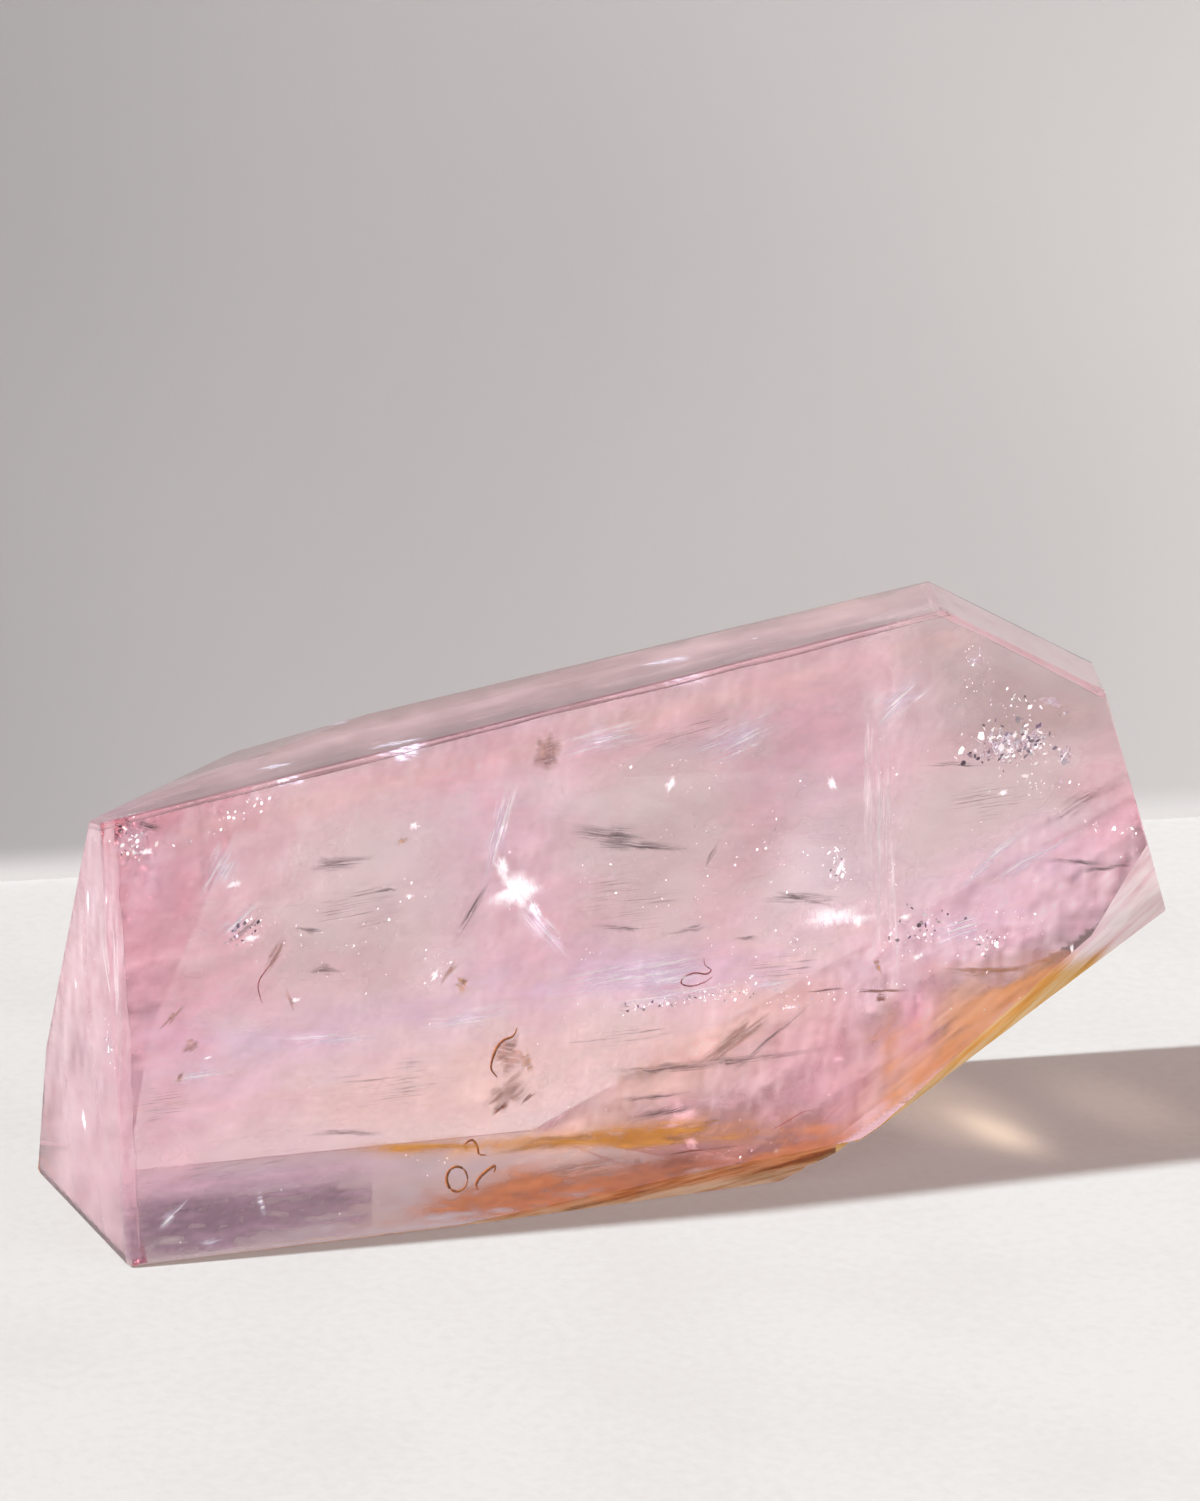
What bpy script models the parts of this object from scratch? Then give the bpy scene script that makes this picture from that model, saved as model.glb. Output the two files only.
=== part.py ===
"""Polished freeform of clear rose quartz, about 107 mm long, lying on its flat base.

One natural stone, cut and polished into flat facets. It starts as a block, and one plane for
each facet takes a piece of the block away. The polished edges are eased, and rough cutters then
break the three natural faces at the lower right and the chips along the edges.

Frame: +X along the stone's length, towards the overhanging end; the broad front facet faces -Y;
+Z up. The stone rests on the plane Z = 0, and its box is centred on the Z axis.
"""

import math

import bmesh
import bpy
from mathutils import Matrix, Vector, noise

MM = 0.001

# Driving sizes, in millimetres, measured from the foot of the stone's front left edge.
FOOT_DEPTH = 24.0
WAIST_HEIGHT = 14.3
FRONT_LEFT_HEIGHT = 41.3
PEAK_X = 77.4
PEAK_HEIGHT = 53.5
SHOULDER_X = 93.3
SHOULDER_HEIGHT = 44.3
TIP_X = 100.2
TIP_HEIGHT = 21.4
UNDERCUT_START_X = 29.0
EDGE_EASING = 0.16
BLOCK_SIDE = 300.0

# Corners that the facets pass through, in millimetres.
FOOT = (0.0, 0.0, 0.0)
FOOT_INNER = (0.25, 0.0, 0.0)
FOOT_BACK = (-3.2, FOOT_DEPTH, 0.0)
FOOT_FAR = (4.5, 32.5, 0.0)
WAIST = (-2.9, 19.5, WAIST_HEIGHT)
FRONT_LEFT_TOP = (-1.0, 2.2, FRONT_LEFT_HEIGHT)
APEX = (-1.4, 4.6, 40.8)
PEAK = (PEAK_X, 2.8, PEAK_HEIGHT)
PEAK_BACK = (82.8, 21.3, 50.4)
SHOULDER = (SHOULDER_X, 2.3, SHOULDER_HEIGHT)
TIP = (TIP_X, 3.7, TIP_HEIGHT)
TIP_FRONT = (97.6, 1.5, 29.5)
KEEL_END = (91.7, 1.1, 20.7)
KEEL_START = (UNDERCUT_START_X, 0.0, 0.0)

# Polished facets: the way each faces, as a heading from +X towards +Y and a rise above the
# level, both in degrees, and a corner that it passes through.
POLISHED_FACETS = {
    "front": (270.0, 3.0, FOOT),
    "base": (0.0, -90.0, FOOT),
    "left end": (187.6, -1.0, FOOT),
    "front left edge": (229.0, 1.0, FOOT_INNER),
    "top": (126.3, 75.2, FRONT_LEFT_TOP),
    "top back left": (125.4, 71.0, APEX),
    "right slope": (359.7, 60.1, PEAK),
    "right end": (344.3, 16.5, SHOULDER),
    "back": (87.0, 8.0, PEAK_BACK),
    "back left, lower": (138.0, 12.5, FOOT_BACK),
    "back left, upper": (138.0, 22.6, WAIST),
    "undercut": (32.9, -57.4, TIP),
}

# Natural faces, left as the stone broke: heading, rise, a corner, the length and width of the
# area that is broken away, the height of its unevenness, and the seed of its relief.
BROKEN_FACES = {
    "broken_tip": (287.7, -8.8, TIP_FRONT, (24.0, 24.0), 0.22, 22.0),
    "broken_right_edge": (289.6, -21.1, KEEL_END, (84.0, 20.0), 0.20, 29.0),
    "broken_keel": (272.3, -20.0, KEEL_START, (100.0, 16.0), 0.16, 36.0),
}
BROKEN_CELL = 1.7
BROKEN_THICKNESS = 9.0

# Relief of the broken faces: long shallow waves with small sharp steps across them. Both are
# drawn out along the face, and the steps have a share of the waves' height.
WAVE_LENGTH = 6.5
WAVE_STRETCH = 2.6
STEP_LENGTH = 2.1
STEP_STRETCH = 3.0
STEP_SHARE = 0.45
STEP_OCTAVES = 2
STEP_SEED_OFFSET = 5.0

# Chips along the edges: a point on the edge, the radius of the scoop and its depth.
CHIPS = (
    ((92.0, 2.4, 45.1), 1.6, 0.30),
    (SHOULDER, 1.3, 0.16),
    ((68.2, 0.5, 3.0), 2.2, 0.28),
    ((64.3, 0.9, 1.2), 1.6, 0.20),
    (FOOT_BACK, 1.6, 0.25),
    (FOOT_FAR, 1.8, 0.25),
    ((103.4, 23.0, 30.0), 1.8, 0.30),
    ((47.0, 24.0, 44.2), 1.5, 0.15),
)
CHIP_ROUGHNESS = 0.18
CHIP_LUMPS = 2.3

# Bevel on the polished edges: every edge that turns by more than this angle is eased.
EASED_ANGLE = 8.0
EASED_SEGMENTS = 2

# Distances in metres within which two points count as one.
CUT_TOLERANCE = 1e-7
MERGE_DISTANCE = 1e-6

# Finish of clear rose quartz: pale pink, glossy and see-through.
PINK = (0.83, 0.60, 0.65, 1.0)
QUARTZ_IOR = 1.544
POLISH_ROUGHNESS = 0.05
CLEARNESS = 0.9


def clear_scene():
    """Removes every object, so that the scene holds only the stone."""
    for obj in list(bpy.data.objects):
        bpy.data.objects.remove(obj, do_unlink=True)


def new_collection(name):
    collection = bpy.data.collections.new(name)
    bpy.context.scene.collection.children.link(collection)
    return collection


def outward(heading, rise):
    """Unit vector that a facet faces along."""
    turn = math.radians(heading)
    lift = math.radians(rise)
    return Vector((math.cos(lift) * math.cos(turn), math.cos(lift) * math.sin(turn), math.sin(lift)))


def cut_facet(bm, heading, rise, corner):
    """Takes away what lies outside one flat facet, and closes the cut."""
    everything = bm.verts[:] + bm.edges[:] + bm.faces[:]
    cut = bmesh.ops.bisect_plane(
        bm,
        geom=everything,
        dist=CUT_TOLERANCE,
        plane_co=Vector(corner) * MM,
        plane_no=outward(heading, rise),
        clear_outer=True,
    )
    rim = [item for item in cut["geom_cut"] if isinstance(item, bmesh.types.BMEdge)]
    if rim:
        bmesh.ops.contextual_create(bm, geom=rim)


def polished_block():
    """The stone as cut on the lap: a block less one slice for each facet."""
    bm = bmesh.new()
    bmesh.ops.create_cube(bm, size=BLOCK_SIDE * MM)
    for heading, rise, corner in POLISHED_FACETS.values():
        cut_facet(bm, heading, rise, corner)
    bmesh.ops.remove_doubles(bm, verts=bm.verts[:], dist=MERGE_DISTANCE)
    return bm


def object_from(bm, name, collection):
    mesh = bpy.data.meshes.new(name)
    bmesh.ops.recalc_face_normals(bm, faces=bm.faces[:])
    bm.to_mesh(mesh)
    bm.free()
    obj = bpy.data.objects.new(name, mesh)
    collection.objects.link(obj)
    return obj


def cutter_from(bm, name, collection):
    cutter = object_from(bm, name, collection)
    cutter.hide_render = True
    cutter.display_type = "WIRE"
    return cutter


def unevenness(point, seed):
    """Height of a broken quartz face, as a share of its greatest height."""
    x = point.x / MM
    y = point.y / MM
    wave = Vector((x / (WAVE_STRETCH * WAVE_LENGTH), y / WAVE_LENGTH, seed))
    step = Vector((x / (STEP_STRETCH * STEP_LENGTH), y / STEP_LENGTH, seed + STEP_SEED_OFFSET))
    return noise.noise(wave) + STEP_SHARE * noise.turbulence(step, STEP_OCTAVES, True)


def broken_cutter(name, face, collection):
    """A slab whose inner side is an uneven broken surface, for cutting away one natural face."""
    heading, rise, corner, (length, width), relief, seed = face
    normal = outward(heading, rise)
    front = outward(*POLISHED_FACETS["front"][:2])
    along = normal.cross(front).normalized()
    frame = Matrix((along, normal.cross(along), normal)).transposed().to_4x4()
    frame.translation = Vector(corner) * MM
    bm = bmesh.new()
    bmesh.ops.create_grid(
        bm,
        x_segments=round(length / BROKEN_CELL),
        y_segments=round(width / BROKEN_CELL),
        size=0.5,
    )
    bmesh.ops.scale(bm, vec=Vector((length * MM, width * MM, 1.0)), verts=bm.verts[:])
    for vert in bm.verts:
        vert.co.z = relief * MM * unevenness(vert.co, seed)
    bmesh.ops.transform(bm, matrix=frame, verts=bm.verts[:])
    shell = bmesh.ops.extrude_face_region(bm, geom=bm.faces[:])
    raised = [item for item in shell["geom"] if isinstance(item, bmesh.types.BMVert)]
    bmesh.ops.translate(bm, vec=normal * BROKEN_THICKNESS * MM, verts=raised)
    return cutter_from(bm, name, collection)


def chip_cutter(number, chip, middle, collection):
    """A scoop on the edge: a ball, slightly uneven, sunk into the stone by the chip's depth."""
    place, radius, depth = chip
    edge = Vector(place) * MM
    away = (edge - middle).normalized()
    bm = bmesh.new()
    bmesh.ops.create_icosphere(bm, subdivisions=2, radius=radius * MM)
    for vert in bm.verts:
        lump = noise.noise(vert.co.normalized() * CHIP_LUMPS + Vector((number, 0.0, 0.0)))
        vert.co *= 1.0 + CHIP_ROUGHNESS * lump
    bmesh.ops.translate(bm, vec=edge + away * (radius - depth) * MM, verts=bm.verts[:])
    return cutter_from(bm, f"chip_{number}", collection)


def cut_with(stone, cutter):
    cut = stone.modifiers.new(cutter.name, "BOOLEAN")
    cut.operation = "DIFFERENCE"
    cut.solver = "EXACT"
    cut.object = cutter


def ease_edges(stone):
    easing = stone.modifiers.new("Eased edges", "BEVEL")
    easing.width = EDGE_EASING * MM
    easing.segments = EASED_SEGMENTS
    easing.limit_method = "ANGLE"
    easing.angle_limit = math.radians(EASED_ANGLE)


def box_middle(stone):
    """Middle of the box round the stone as it is after its modifiers."""
    finished = stone.evaluated_get(bpy.context.evaluated_depsgraph_get())
    corners = [Vector(corner) for corner in finished.bound_box]
    return sum(corners, Vector()) / len(corners)


def quartz_material():
    material = bpy.data.materials.new("Rose quartz, polished")
    material.use_nodes = True
    shader = material.node_tree.nodes["Principled BSDF"]
    shader.inputs["Base Color"].default_value = PINK
    shader.inputs["Roughness"].default_value = POLISH_ROUGHNESS
    shader.inputs["Metallic"].default_value = 0.0
    shader.inputs["IOR"].default_value = QUARTZ_IOR
    shader.inputs["Transmission Weight"].default_value = CLEARNESS
    return material


def main():
    clear_scene()
    stones = new_collection("Rose quartz")
    cutters = new_collection("Cutters")
    stone = object_from(polished_block(), "rose_quartz", stones)
    stone.data.materials.append(quartz_material())
    ease_edges(stone)
    middle = box_middle(stone)
    for name, face in BROKEN_FACES.items():
        cut_with(stone, broken_cutter(name, face, cutters))
    for number, chip in enumerate(CHIPS, start=1):
        cut_with(stone, chip_cutter(number, chip, middle, cutters))
    # The finished box is centred over the origin, and the stone and its cutters move together.
    middle = box_middle(stone)
    shift = Matrix.Translation(Vector((-middle.x, -middle.y, 0.0)))
    for obj in [stone, *cutters.objects]:
        obj.data.transform(shift)


main()
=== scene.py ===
"""Looks of a polished freeform of clear rose quartz: its skin, the fractures, veils and iron stains
inside it, the floor and backdrop it lies before, and the light."""

import math
import random

import bmesh
import bpy
from mathutils import Matrix, Vector, noise
from mathutils.bvhtree import BVHTree


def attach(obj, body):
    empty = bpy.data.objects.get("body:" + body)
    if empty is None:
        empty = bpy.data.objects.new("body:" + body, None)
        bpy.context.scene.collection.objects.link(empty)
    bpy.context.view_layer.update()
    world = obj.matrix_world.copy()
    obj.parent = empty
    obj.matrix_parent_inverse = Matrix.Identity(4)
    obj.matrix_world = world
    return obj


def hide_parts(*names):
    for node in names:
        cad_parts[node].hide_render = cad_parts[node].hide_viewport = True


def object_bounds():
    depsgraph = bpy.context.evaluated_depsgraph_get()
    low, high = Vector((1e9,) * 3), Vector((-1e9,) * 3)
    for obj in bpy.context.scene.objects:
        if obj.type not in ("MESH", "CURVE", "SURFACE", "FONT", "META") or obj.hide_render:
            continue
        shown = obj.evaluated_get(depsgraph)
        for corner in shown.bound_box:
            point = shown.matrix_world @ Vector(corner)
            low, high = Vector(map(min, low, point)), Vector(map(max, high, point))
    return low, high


bl_info = {
    "name": "Rose quartz freeform",
    "version": (1, 0, 0),
    "blender": (4, 5, 0),
    "location": "View3D > Sidebar > Rose quartz",
    "description": "Dresses a polished freeform of clear rose quartz and lights it for a still",
    "category": "Object",
}

MM = 0.001
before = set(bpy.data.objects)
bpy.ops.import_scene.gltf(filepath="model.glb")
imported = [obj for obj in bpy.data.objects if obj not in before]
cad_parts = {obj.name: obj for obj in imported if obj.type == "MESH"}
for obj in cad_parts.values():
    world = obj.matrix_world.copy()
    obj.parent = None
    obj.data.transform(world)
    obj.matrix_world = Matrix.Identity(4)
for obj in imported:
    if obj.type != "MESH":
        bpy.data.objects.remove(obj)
CAD_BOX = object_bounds()
NODE = "rose_quartz"

# The foot of the front left edge, from which places on the stone are measured.
FOOT_INSET = 3.17
FOOT = CAD_BOX[0] + Vector((FOOT_INSET * MM, 0.0, 0.0))

# Facets that things are placed behind: heading and rise in degrees, and a point from the foot in mm.
FACETS = {
    "front": (270.0, 3.0, (0.0, 0.0, 0.0)),
    "left end": (187.6, -1.0, (0.0, 0.0, 0.0)),
    "top": (126.3, 75.2, (-1.0, 2.2, 41.3)),
    "right slope": (359.7, 60.1, (77.4, 2.8, 53.5)),
}

# Natural broken faces, in the same form.
BROKEN_FACES = {
    "tip": (287.7, -8.8, (97.6, 1.5, 29.5)),
    "right edge": (289.6, -21.1, (91.7, 1.1, 20.7)),
    "keel": (272.3, -20.0, (29.0, 0.0, 0.0)),
}

# A face of the mesh belongs to a broken face if it lies this near to it, in mm, is turned from it by
# less than this angle, and doesn't face as a polished facet does. SAME_WAY is the cosine above which
# two faces face the same way.
BROKEN_REACH = 0.75
BROKEN_TURN = 24.0
SAME_WAY = 0.9998

# Number of the material on polished facets and on each broken face, in their order above.
BREAK_MATERIALS = (0, 1, 1, 2)

# Points of the stone's mesh that are nearer to each other than this, in metres, become one.
MERGE_DISTANCE = 1e-6

# The photograph's view: the camera's place from the foot in mm, the way it looks in degrees, and
# the picture's size and focal length in its own pixels.
CAMERA_FROM_FOOT = (-98.1, -459.3, 205.1)
CAMERA_AZIMUTH = 17.2
CAMERA_DROP = 18.5
PHOTO_WIDTH = 1200
PHOTO_HEIGHT = 1501
PHOTO_FOCAL_PIXELS = 5700
SENSOR_MM = 36.0

# Size of one of the photograph's pixels on the stone, in mm.
PIXEL_MM = 0.092

QUARTZ_IOR = 1.544

# What lies inside the stone keeps this far from its skin, in mm. A point near an edge may need more
# than one move inwards, because the first can leave it too near to the next facet.
INNER_MARGIN = 0.2
INWARD_MOVES = 3

# Ledges of the natural breaks: their height in mm, and how strongly they show.
LEDGE_HEIGHT = 0.15
LEDGE_STRENGTH = 0.35

# Form of each kind of sheet: height of its folds in mm, their length in mm, raggedness of its
# outline, and the rings and sectors of its mesh.
FLAT_FORM = (0.25, 2.0, 0.5, 6, 32)
CRUMPLED_FORM = (0.55, 0.8, 0.6, 16, 72)
VEIL_FORM = (0.6, 6.0, 0.6, 8, 36)

# Folds and outlines of the sheets. Every noise whose name ends in NOISE is given by its smoothness,
# how much finer each octave is than the one before, and the number of octaves. From one seed to the
# next the noise moves on by SHEET_SHIFTS, and the pattern of the streaks by PATTERN_SHIFT.
FOLD_NOISE = (0.7, 2.1, 4)
OUTLINE_LOBES = 1.4
OUTLINE_OCTAVES = 3
SHEET_SHIFTS = (3.1, 1.7, 0.9)
PATTERN_SHIFT = 7.0

# Seed of the first sheet in each table below. Each further sheet of a table has the next seed, so
# that no two sheets fold alike.
BRIGHT_SEED = 1
LEFT_END_SEED = 40
TOP_SEED = 50
CRUMPLED_SEED = 60
DARK_SEED = 100
BRUSHED_SEED = 200
UPRIGHT_SEED = 240
FINE_LINES_SEED = 270
PEACH_SEED = 400
GOLD_SEED = 440
BROWN_SEED = 480

# Sheets inside the stone: fractures, veils and stains. Each entry is the pixel of the photograph
# where its middle shows, its depth behind the facet it shows through, its length and height in mm,
# its roll about the line of sight, how far it leans back, and how far it turns to the side, in
# degrees.
# The white flashes of these fractures and of those on the left end are painted glints: white sheets that
# glow, not lamps that their tilt catches.
BRIGHT_FRACTURES = {
    "middle flash": (517, 890, 4.0, 6.8, 5.2, 12, 10, 0),
    "middle flash, core": (518, 892, 3.8, 5.2, 3.8, 12, 10, 0),
    "middle flash, upper left": (503, 868, 4.4, 2.0, 3.6, 20, 10, 0),
    "middle flash, lower right": (534, 908, 4.6, 1.8, 3.0, 24, 10, 0),
    "upper left flash": (234, 884, 3.5, 2.0, 1.3, 12, 25, 0),
    "top corner flash": (146, 852, 2.5, 2.2, 1.1, 10, 10, 15),
    "left flash with colours": (252, 938, 3.9, 2.2, 1.0, 12, 20, 10),
    "flash by the peach stain": (415, 826, 4.4, 1.3, 1.2, 0, 10, 0),
    "two small flashes": (410, 896, 4.4, 1.0, 0.7, 0, 10, 0),
    "flash over the vertical veil": (832, 783, 3.9, 1.4, 2.2, 20, 10, 0),
    "second over the vertical veil": (840, 868, 3.9, 1.1, 2.6, -32, 10, 0),
    "long lens": (834, 918, 4.5, 9.6, 3.0, 5, 30, 0),
    "long lens, bright end": (858, 921, 5.4, 1.6, 1.5, 60, 10, 0),
    "flash under the crumpled fracture": (1003, 793, 3.5, 1.5, 0.9, 10, 10, 0),
    "lower left flash": (296, 1000, 4.8, 1.5, 0.7, 5, 20, 0),
    "left edge flash": (107, 1052, 1.5, 1.0, 1.8, 10, 10, 0),
    "lower left glint": (208, 1058, 3.5, 1.2, 0.4, 5, 20, 0),
    "flash by the orange stain": (435, 975, 4.4, 0.8, 1.8, -30, 10, 0),
    "upper small flash": (286, 780, 4.0, 1.5, 0.7, 10, 10, 0),
    "upper middle flash": (670, 784, 3.9, 1.2, 2.4, -25, 10, 0),
    "flash above the fracture": (790, 1008, 4.8, 2.4, 0.5, 8, 40, 0),
    "silver flash at the keel": (778, 1151, 1.2, 2.0, 0.8, 5, 30, 0),
    "right flash": (1072, 950, 3.1, 0.6, 1.8, 5, 10, 0),
    "right lower flash": (905, 917, 3.5, 1.6, 0.8, 20, 20, 0),
    "right low flashes": (918, 957, 3.5, 1.8, 1.0, 30, 20, 0),
}
LEFT_END_FRACTURES = {
    "lens on the left end": (84, 1120, 1.2, 1.2, 3.0, 12, 0, 0),
    "streak on the left end": (88, 900, 1.5, 0.8, 5.0, -3, 0, 0),
    "small one on the left end": (76, 985, 1.5, 0.8, 1.4, 10, 0, 0),
}
# The silvery sheen of these fractures is painted: pale sheets that glow, not a reflection.
TOP_FRACTURES = {
    "long patch": (398, 743, 0.35, 6.8, 4.6, -3, 0, 0),
    "second patch": (276, 766, 0.35, 5.4, 3.2, -4, 0, 0),
    "patch at the back": (340, 722, 0.35, 3.2, 2.2, -10, 0, 0),
    "faint patch": (668, 661, 0.45, 8.0, 4.0, 0, 0, 0),
    "chip": (755, 638, 0.3, 1.0, 1.6, 0, 0, 0),
}
CRUMPLED_FRACTURES = {
    "upper right": (1004, 748, 3.1, 6.2, 4.4, 5, 10, 0),
    "upper right, second": (1032, 742, 3.3, 3.6, 3.4, -10, 15, 0),
    "upper right, small": (1064, 756, 4.0, 1.8, 2.6, 0, 10, 0),
    "upper right, above": (1050, 702, 3.1, 3.6, 1.6, -20, 10, 0),
    "at the top edge": (975, 660, 4.0, 2.4, 1.6, -20, 20, 0),
}
# These fractures are painted dark: dark sheets that stand in for the dark surroundings that the real
# fractures reflect.
DARK_FRACTURES = {
    "upper left": (335, 864, 4.8, 7.6, 2.4, 2, 30, 0),
    "upper middle": (612, 836, 4.8, 10.8, 2.8, -9, 30, 0),
    "upper middle, thin": (640, 846, 4.8, 12.2, 1.5, -6, 30, 0),
    "slanting": (470, 913, 5.2, 8.1, 1.4, 58, 20, 0),
    "left": (325, 971, 4.4, 4.9, 1.4, 0, 30, 0),
    "middle left": (308, 930, 4.4, 4.9, 0.9, -5, 30, 0),
    "by the left flash": (245, 929, 3.7, 7.0, 1.0, 38, 20, 0),
    "over the long lens": (804, 898, 5.2, 10.0, 1.9, -6, 30, 0),
    "right": (1072, 861, 3.5, 10.3, 1.1, -6, 40, 0),
    "right, fine": (1110, 868, 3.5, 8.1, 0.8, 3, 40, 0),
    "centre": (622, 928, 5.2, 6.8, 1.1, -6, 40, 0),
    "centre, second": (690, 929, 5.2, 6.2, 1.0, 6, 40, 0),
    "centre, third": (745, 938, 5.2, 4.1, 0.6, 3, 40, 0),
    "lower left": (348, 1133, 6.0, 8.9, 1.4, -4, 50, 0),
    "low long": (655, 1072, 6.9, 17.6, 2.1, 3, 50, 0),
    "low long, faint": (700, 1066, 6.9, 29.7, 1.8, 4, 60, 0),
    "low long, under": (645, 1098, 6.9, 10.8, 1.0, 5, 50, 0),
    "over the golden band": (665, 1112, 6.0, 12.2, 1.5, 8, 50, 0),
    "fine, right of the middle": (712, 854, 4.8, 4.6, 0.6, 62, 20, 0),
    "corner": (148, 825, 3.0, 3.2, 2.2, -15, 20, 0),
    "upper right line": (960, 765, 3.1, 10.8, 0.6, -2, 40, 0),
    "undercut line": (1085, 800, 7.7, 13.5, 2.8, 28, 20, 0),
    "edge of the overhang": (768, 1041, 4.0, 15.0, 0.9, 39, 10, 0),
    # The next two are painted reflections, where the base mirrors the inside of the stone.
    "in the mirror, left": (190, 1212, 3.1, 9.5, 4.2, 6, 10, 0),
    "in the mirror, right": (325, 1196, 3.1, 8.1, 3.8, 4, 10, 0),
    "reddish line": (385, 890, 4.8, 4.6, 0.6, 0, 30, 0),
}
BRUSHED_VEILS = {
    "main band": (640, 972, 4.6, 24.0, 7.5, 7, 20, 0),
    "band, core": (655, 980, 4.5, 16.0, 4.6, 5, 20, 0),
    "band, low edge": (672, 996, 4.4, 19.0, 2.6, 4, 20, 0),
    "band, left": (470, 1016, 4.8, 17.0, 2.4, 5, 20, 0),
    "band, far left": (330, 1040, 4.8, 15.0, 2.4, 3, 20, 0),
    "band, right": (770, 985, 4.4, 9.0, 2.2, 2, 20, 0),
    "left": (235, 925, 3.5, 7.0, 3.0, 38, 20, 0),
    "above the left flash": (220, 870, 3.1, 8.0, 5.0, 60, 20, 0),
    "left lower": (200, 1075, 3.5, 7.0, 3.0, 2, 20, 0),
    "middle flash, wings": (540, 925, 4.4, 12.0, 4.0, -50, 10, 0),
    "middle flash, over": (500, 830, 4.4, 14.0, 4.0, 75, 10, 0),
    "right lower": (960, 930, 3.9, 12.0, 5.0, 15, 20, 0),
    "right, under the crumple": (1030, 860, 4.4, 12.0, 3.0, 28, 20, 0),
    "upper middle": (740, 740, 3.9, 16.0, 6.0, 22, 20, 0),
    "upper right": (900, 700, 3.1, 10.0, 5.0, 40, 20, 0),
    "bright slope": (990, 860, 3.9, 14.0, 1.8, 38, 20, 0),
    "above the middle": (600, 740, 3.5, 18.0, 5.0, 14, 20, 0),
    "scratches by the foot": (170, 1216, 0.6, 5.0, 1.6, 42, 0, 0),
    "scratches by the foot, right": (262, 1206, 0.6, 1.4, 4.0, 10, 0, 0),
    "scratches at the bottom edge": (212, 1243, 0.6, 4.0, 1.4, 12, 0, 0),
}
UPRIGHT_VEILS = {
    "wide": (882, 835, 3.7, 36.0, 4.6, 91, 10, 0),
    "narrow": (893, 905, 3.3, 20.0, 1.4, 94, 10, 0),
    "second": (868, 760, 4.2, 26.0, 1.6, 89, 10, 0),
    "left edge": (118, 1000, 0.8, 36.0, 1.0, 91, 0, 0),
}
FINE_LINES = {
    "left of the middle": (395, 1085, 4.2, 17.0, 7.0, 1, 10, 0),
    "lower left": (165, 1105, 3.0, 9.0, 6.0, 4, 10, 0),
    "over the foot": (235, 1172, 3.0, 22.0, 3.5, 6, 10, 0),
    "right window": (790, 965, 4.6, 16.0, 5.0, 2, 10, 0),
    "left window": (350, 905, 4.6, 16.0, 7.0, 8, 10, 0),
    "middle window": (640, 900, 4.8, 18.0, 7.0, 3, 10, 0),
    "low window": (620, 1035, 4.8, 20.0, 4.0, 4, 10, 0),
    "upper right": (1000, 800, 3.4, 16.0, 6.0, 5, 10, 0),
    "upper middle": (690, 730, 3.6, 18.0, 4.0, 14, 10, 0),
}

# Outlines of the haze's patches: their lobes in pixels across and down, how far these bend the
# outline, as a share, and their noise.
PATCH_LOBES = (70, 45)
PATCH_RAGGEDNESS = 0.5
PATCH_NOISE = (0.8, 2.0, 3)

# Streaks of the haze: their noise, how much they thicken the haze, and how much they lighten it.
STREAK_NOISE = (0.7, 2.0, 4)
STREAK_THICKNESS = 1.6
STREAK_LIGHTNESS = 0.8

# Waves of the haze's sheets: their length in pixels across and down, their noise, how far it moves on
# from one sheet to the next, and their height as a share of the sheet's depth, up to WAVE_MOST mm.
WAVE_LENGTHS = (150, 110)
WAVE_NOISE = (0.8, 2.0, 3)
WAVE_SHIFT = 2.3
WAVE_SHARE = 0.3
WAVE_MOST = 1.4

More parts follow.
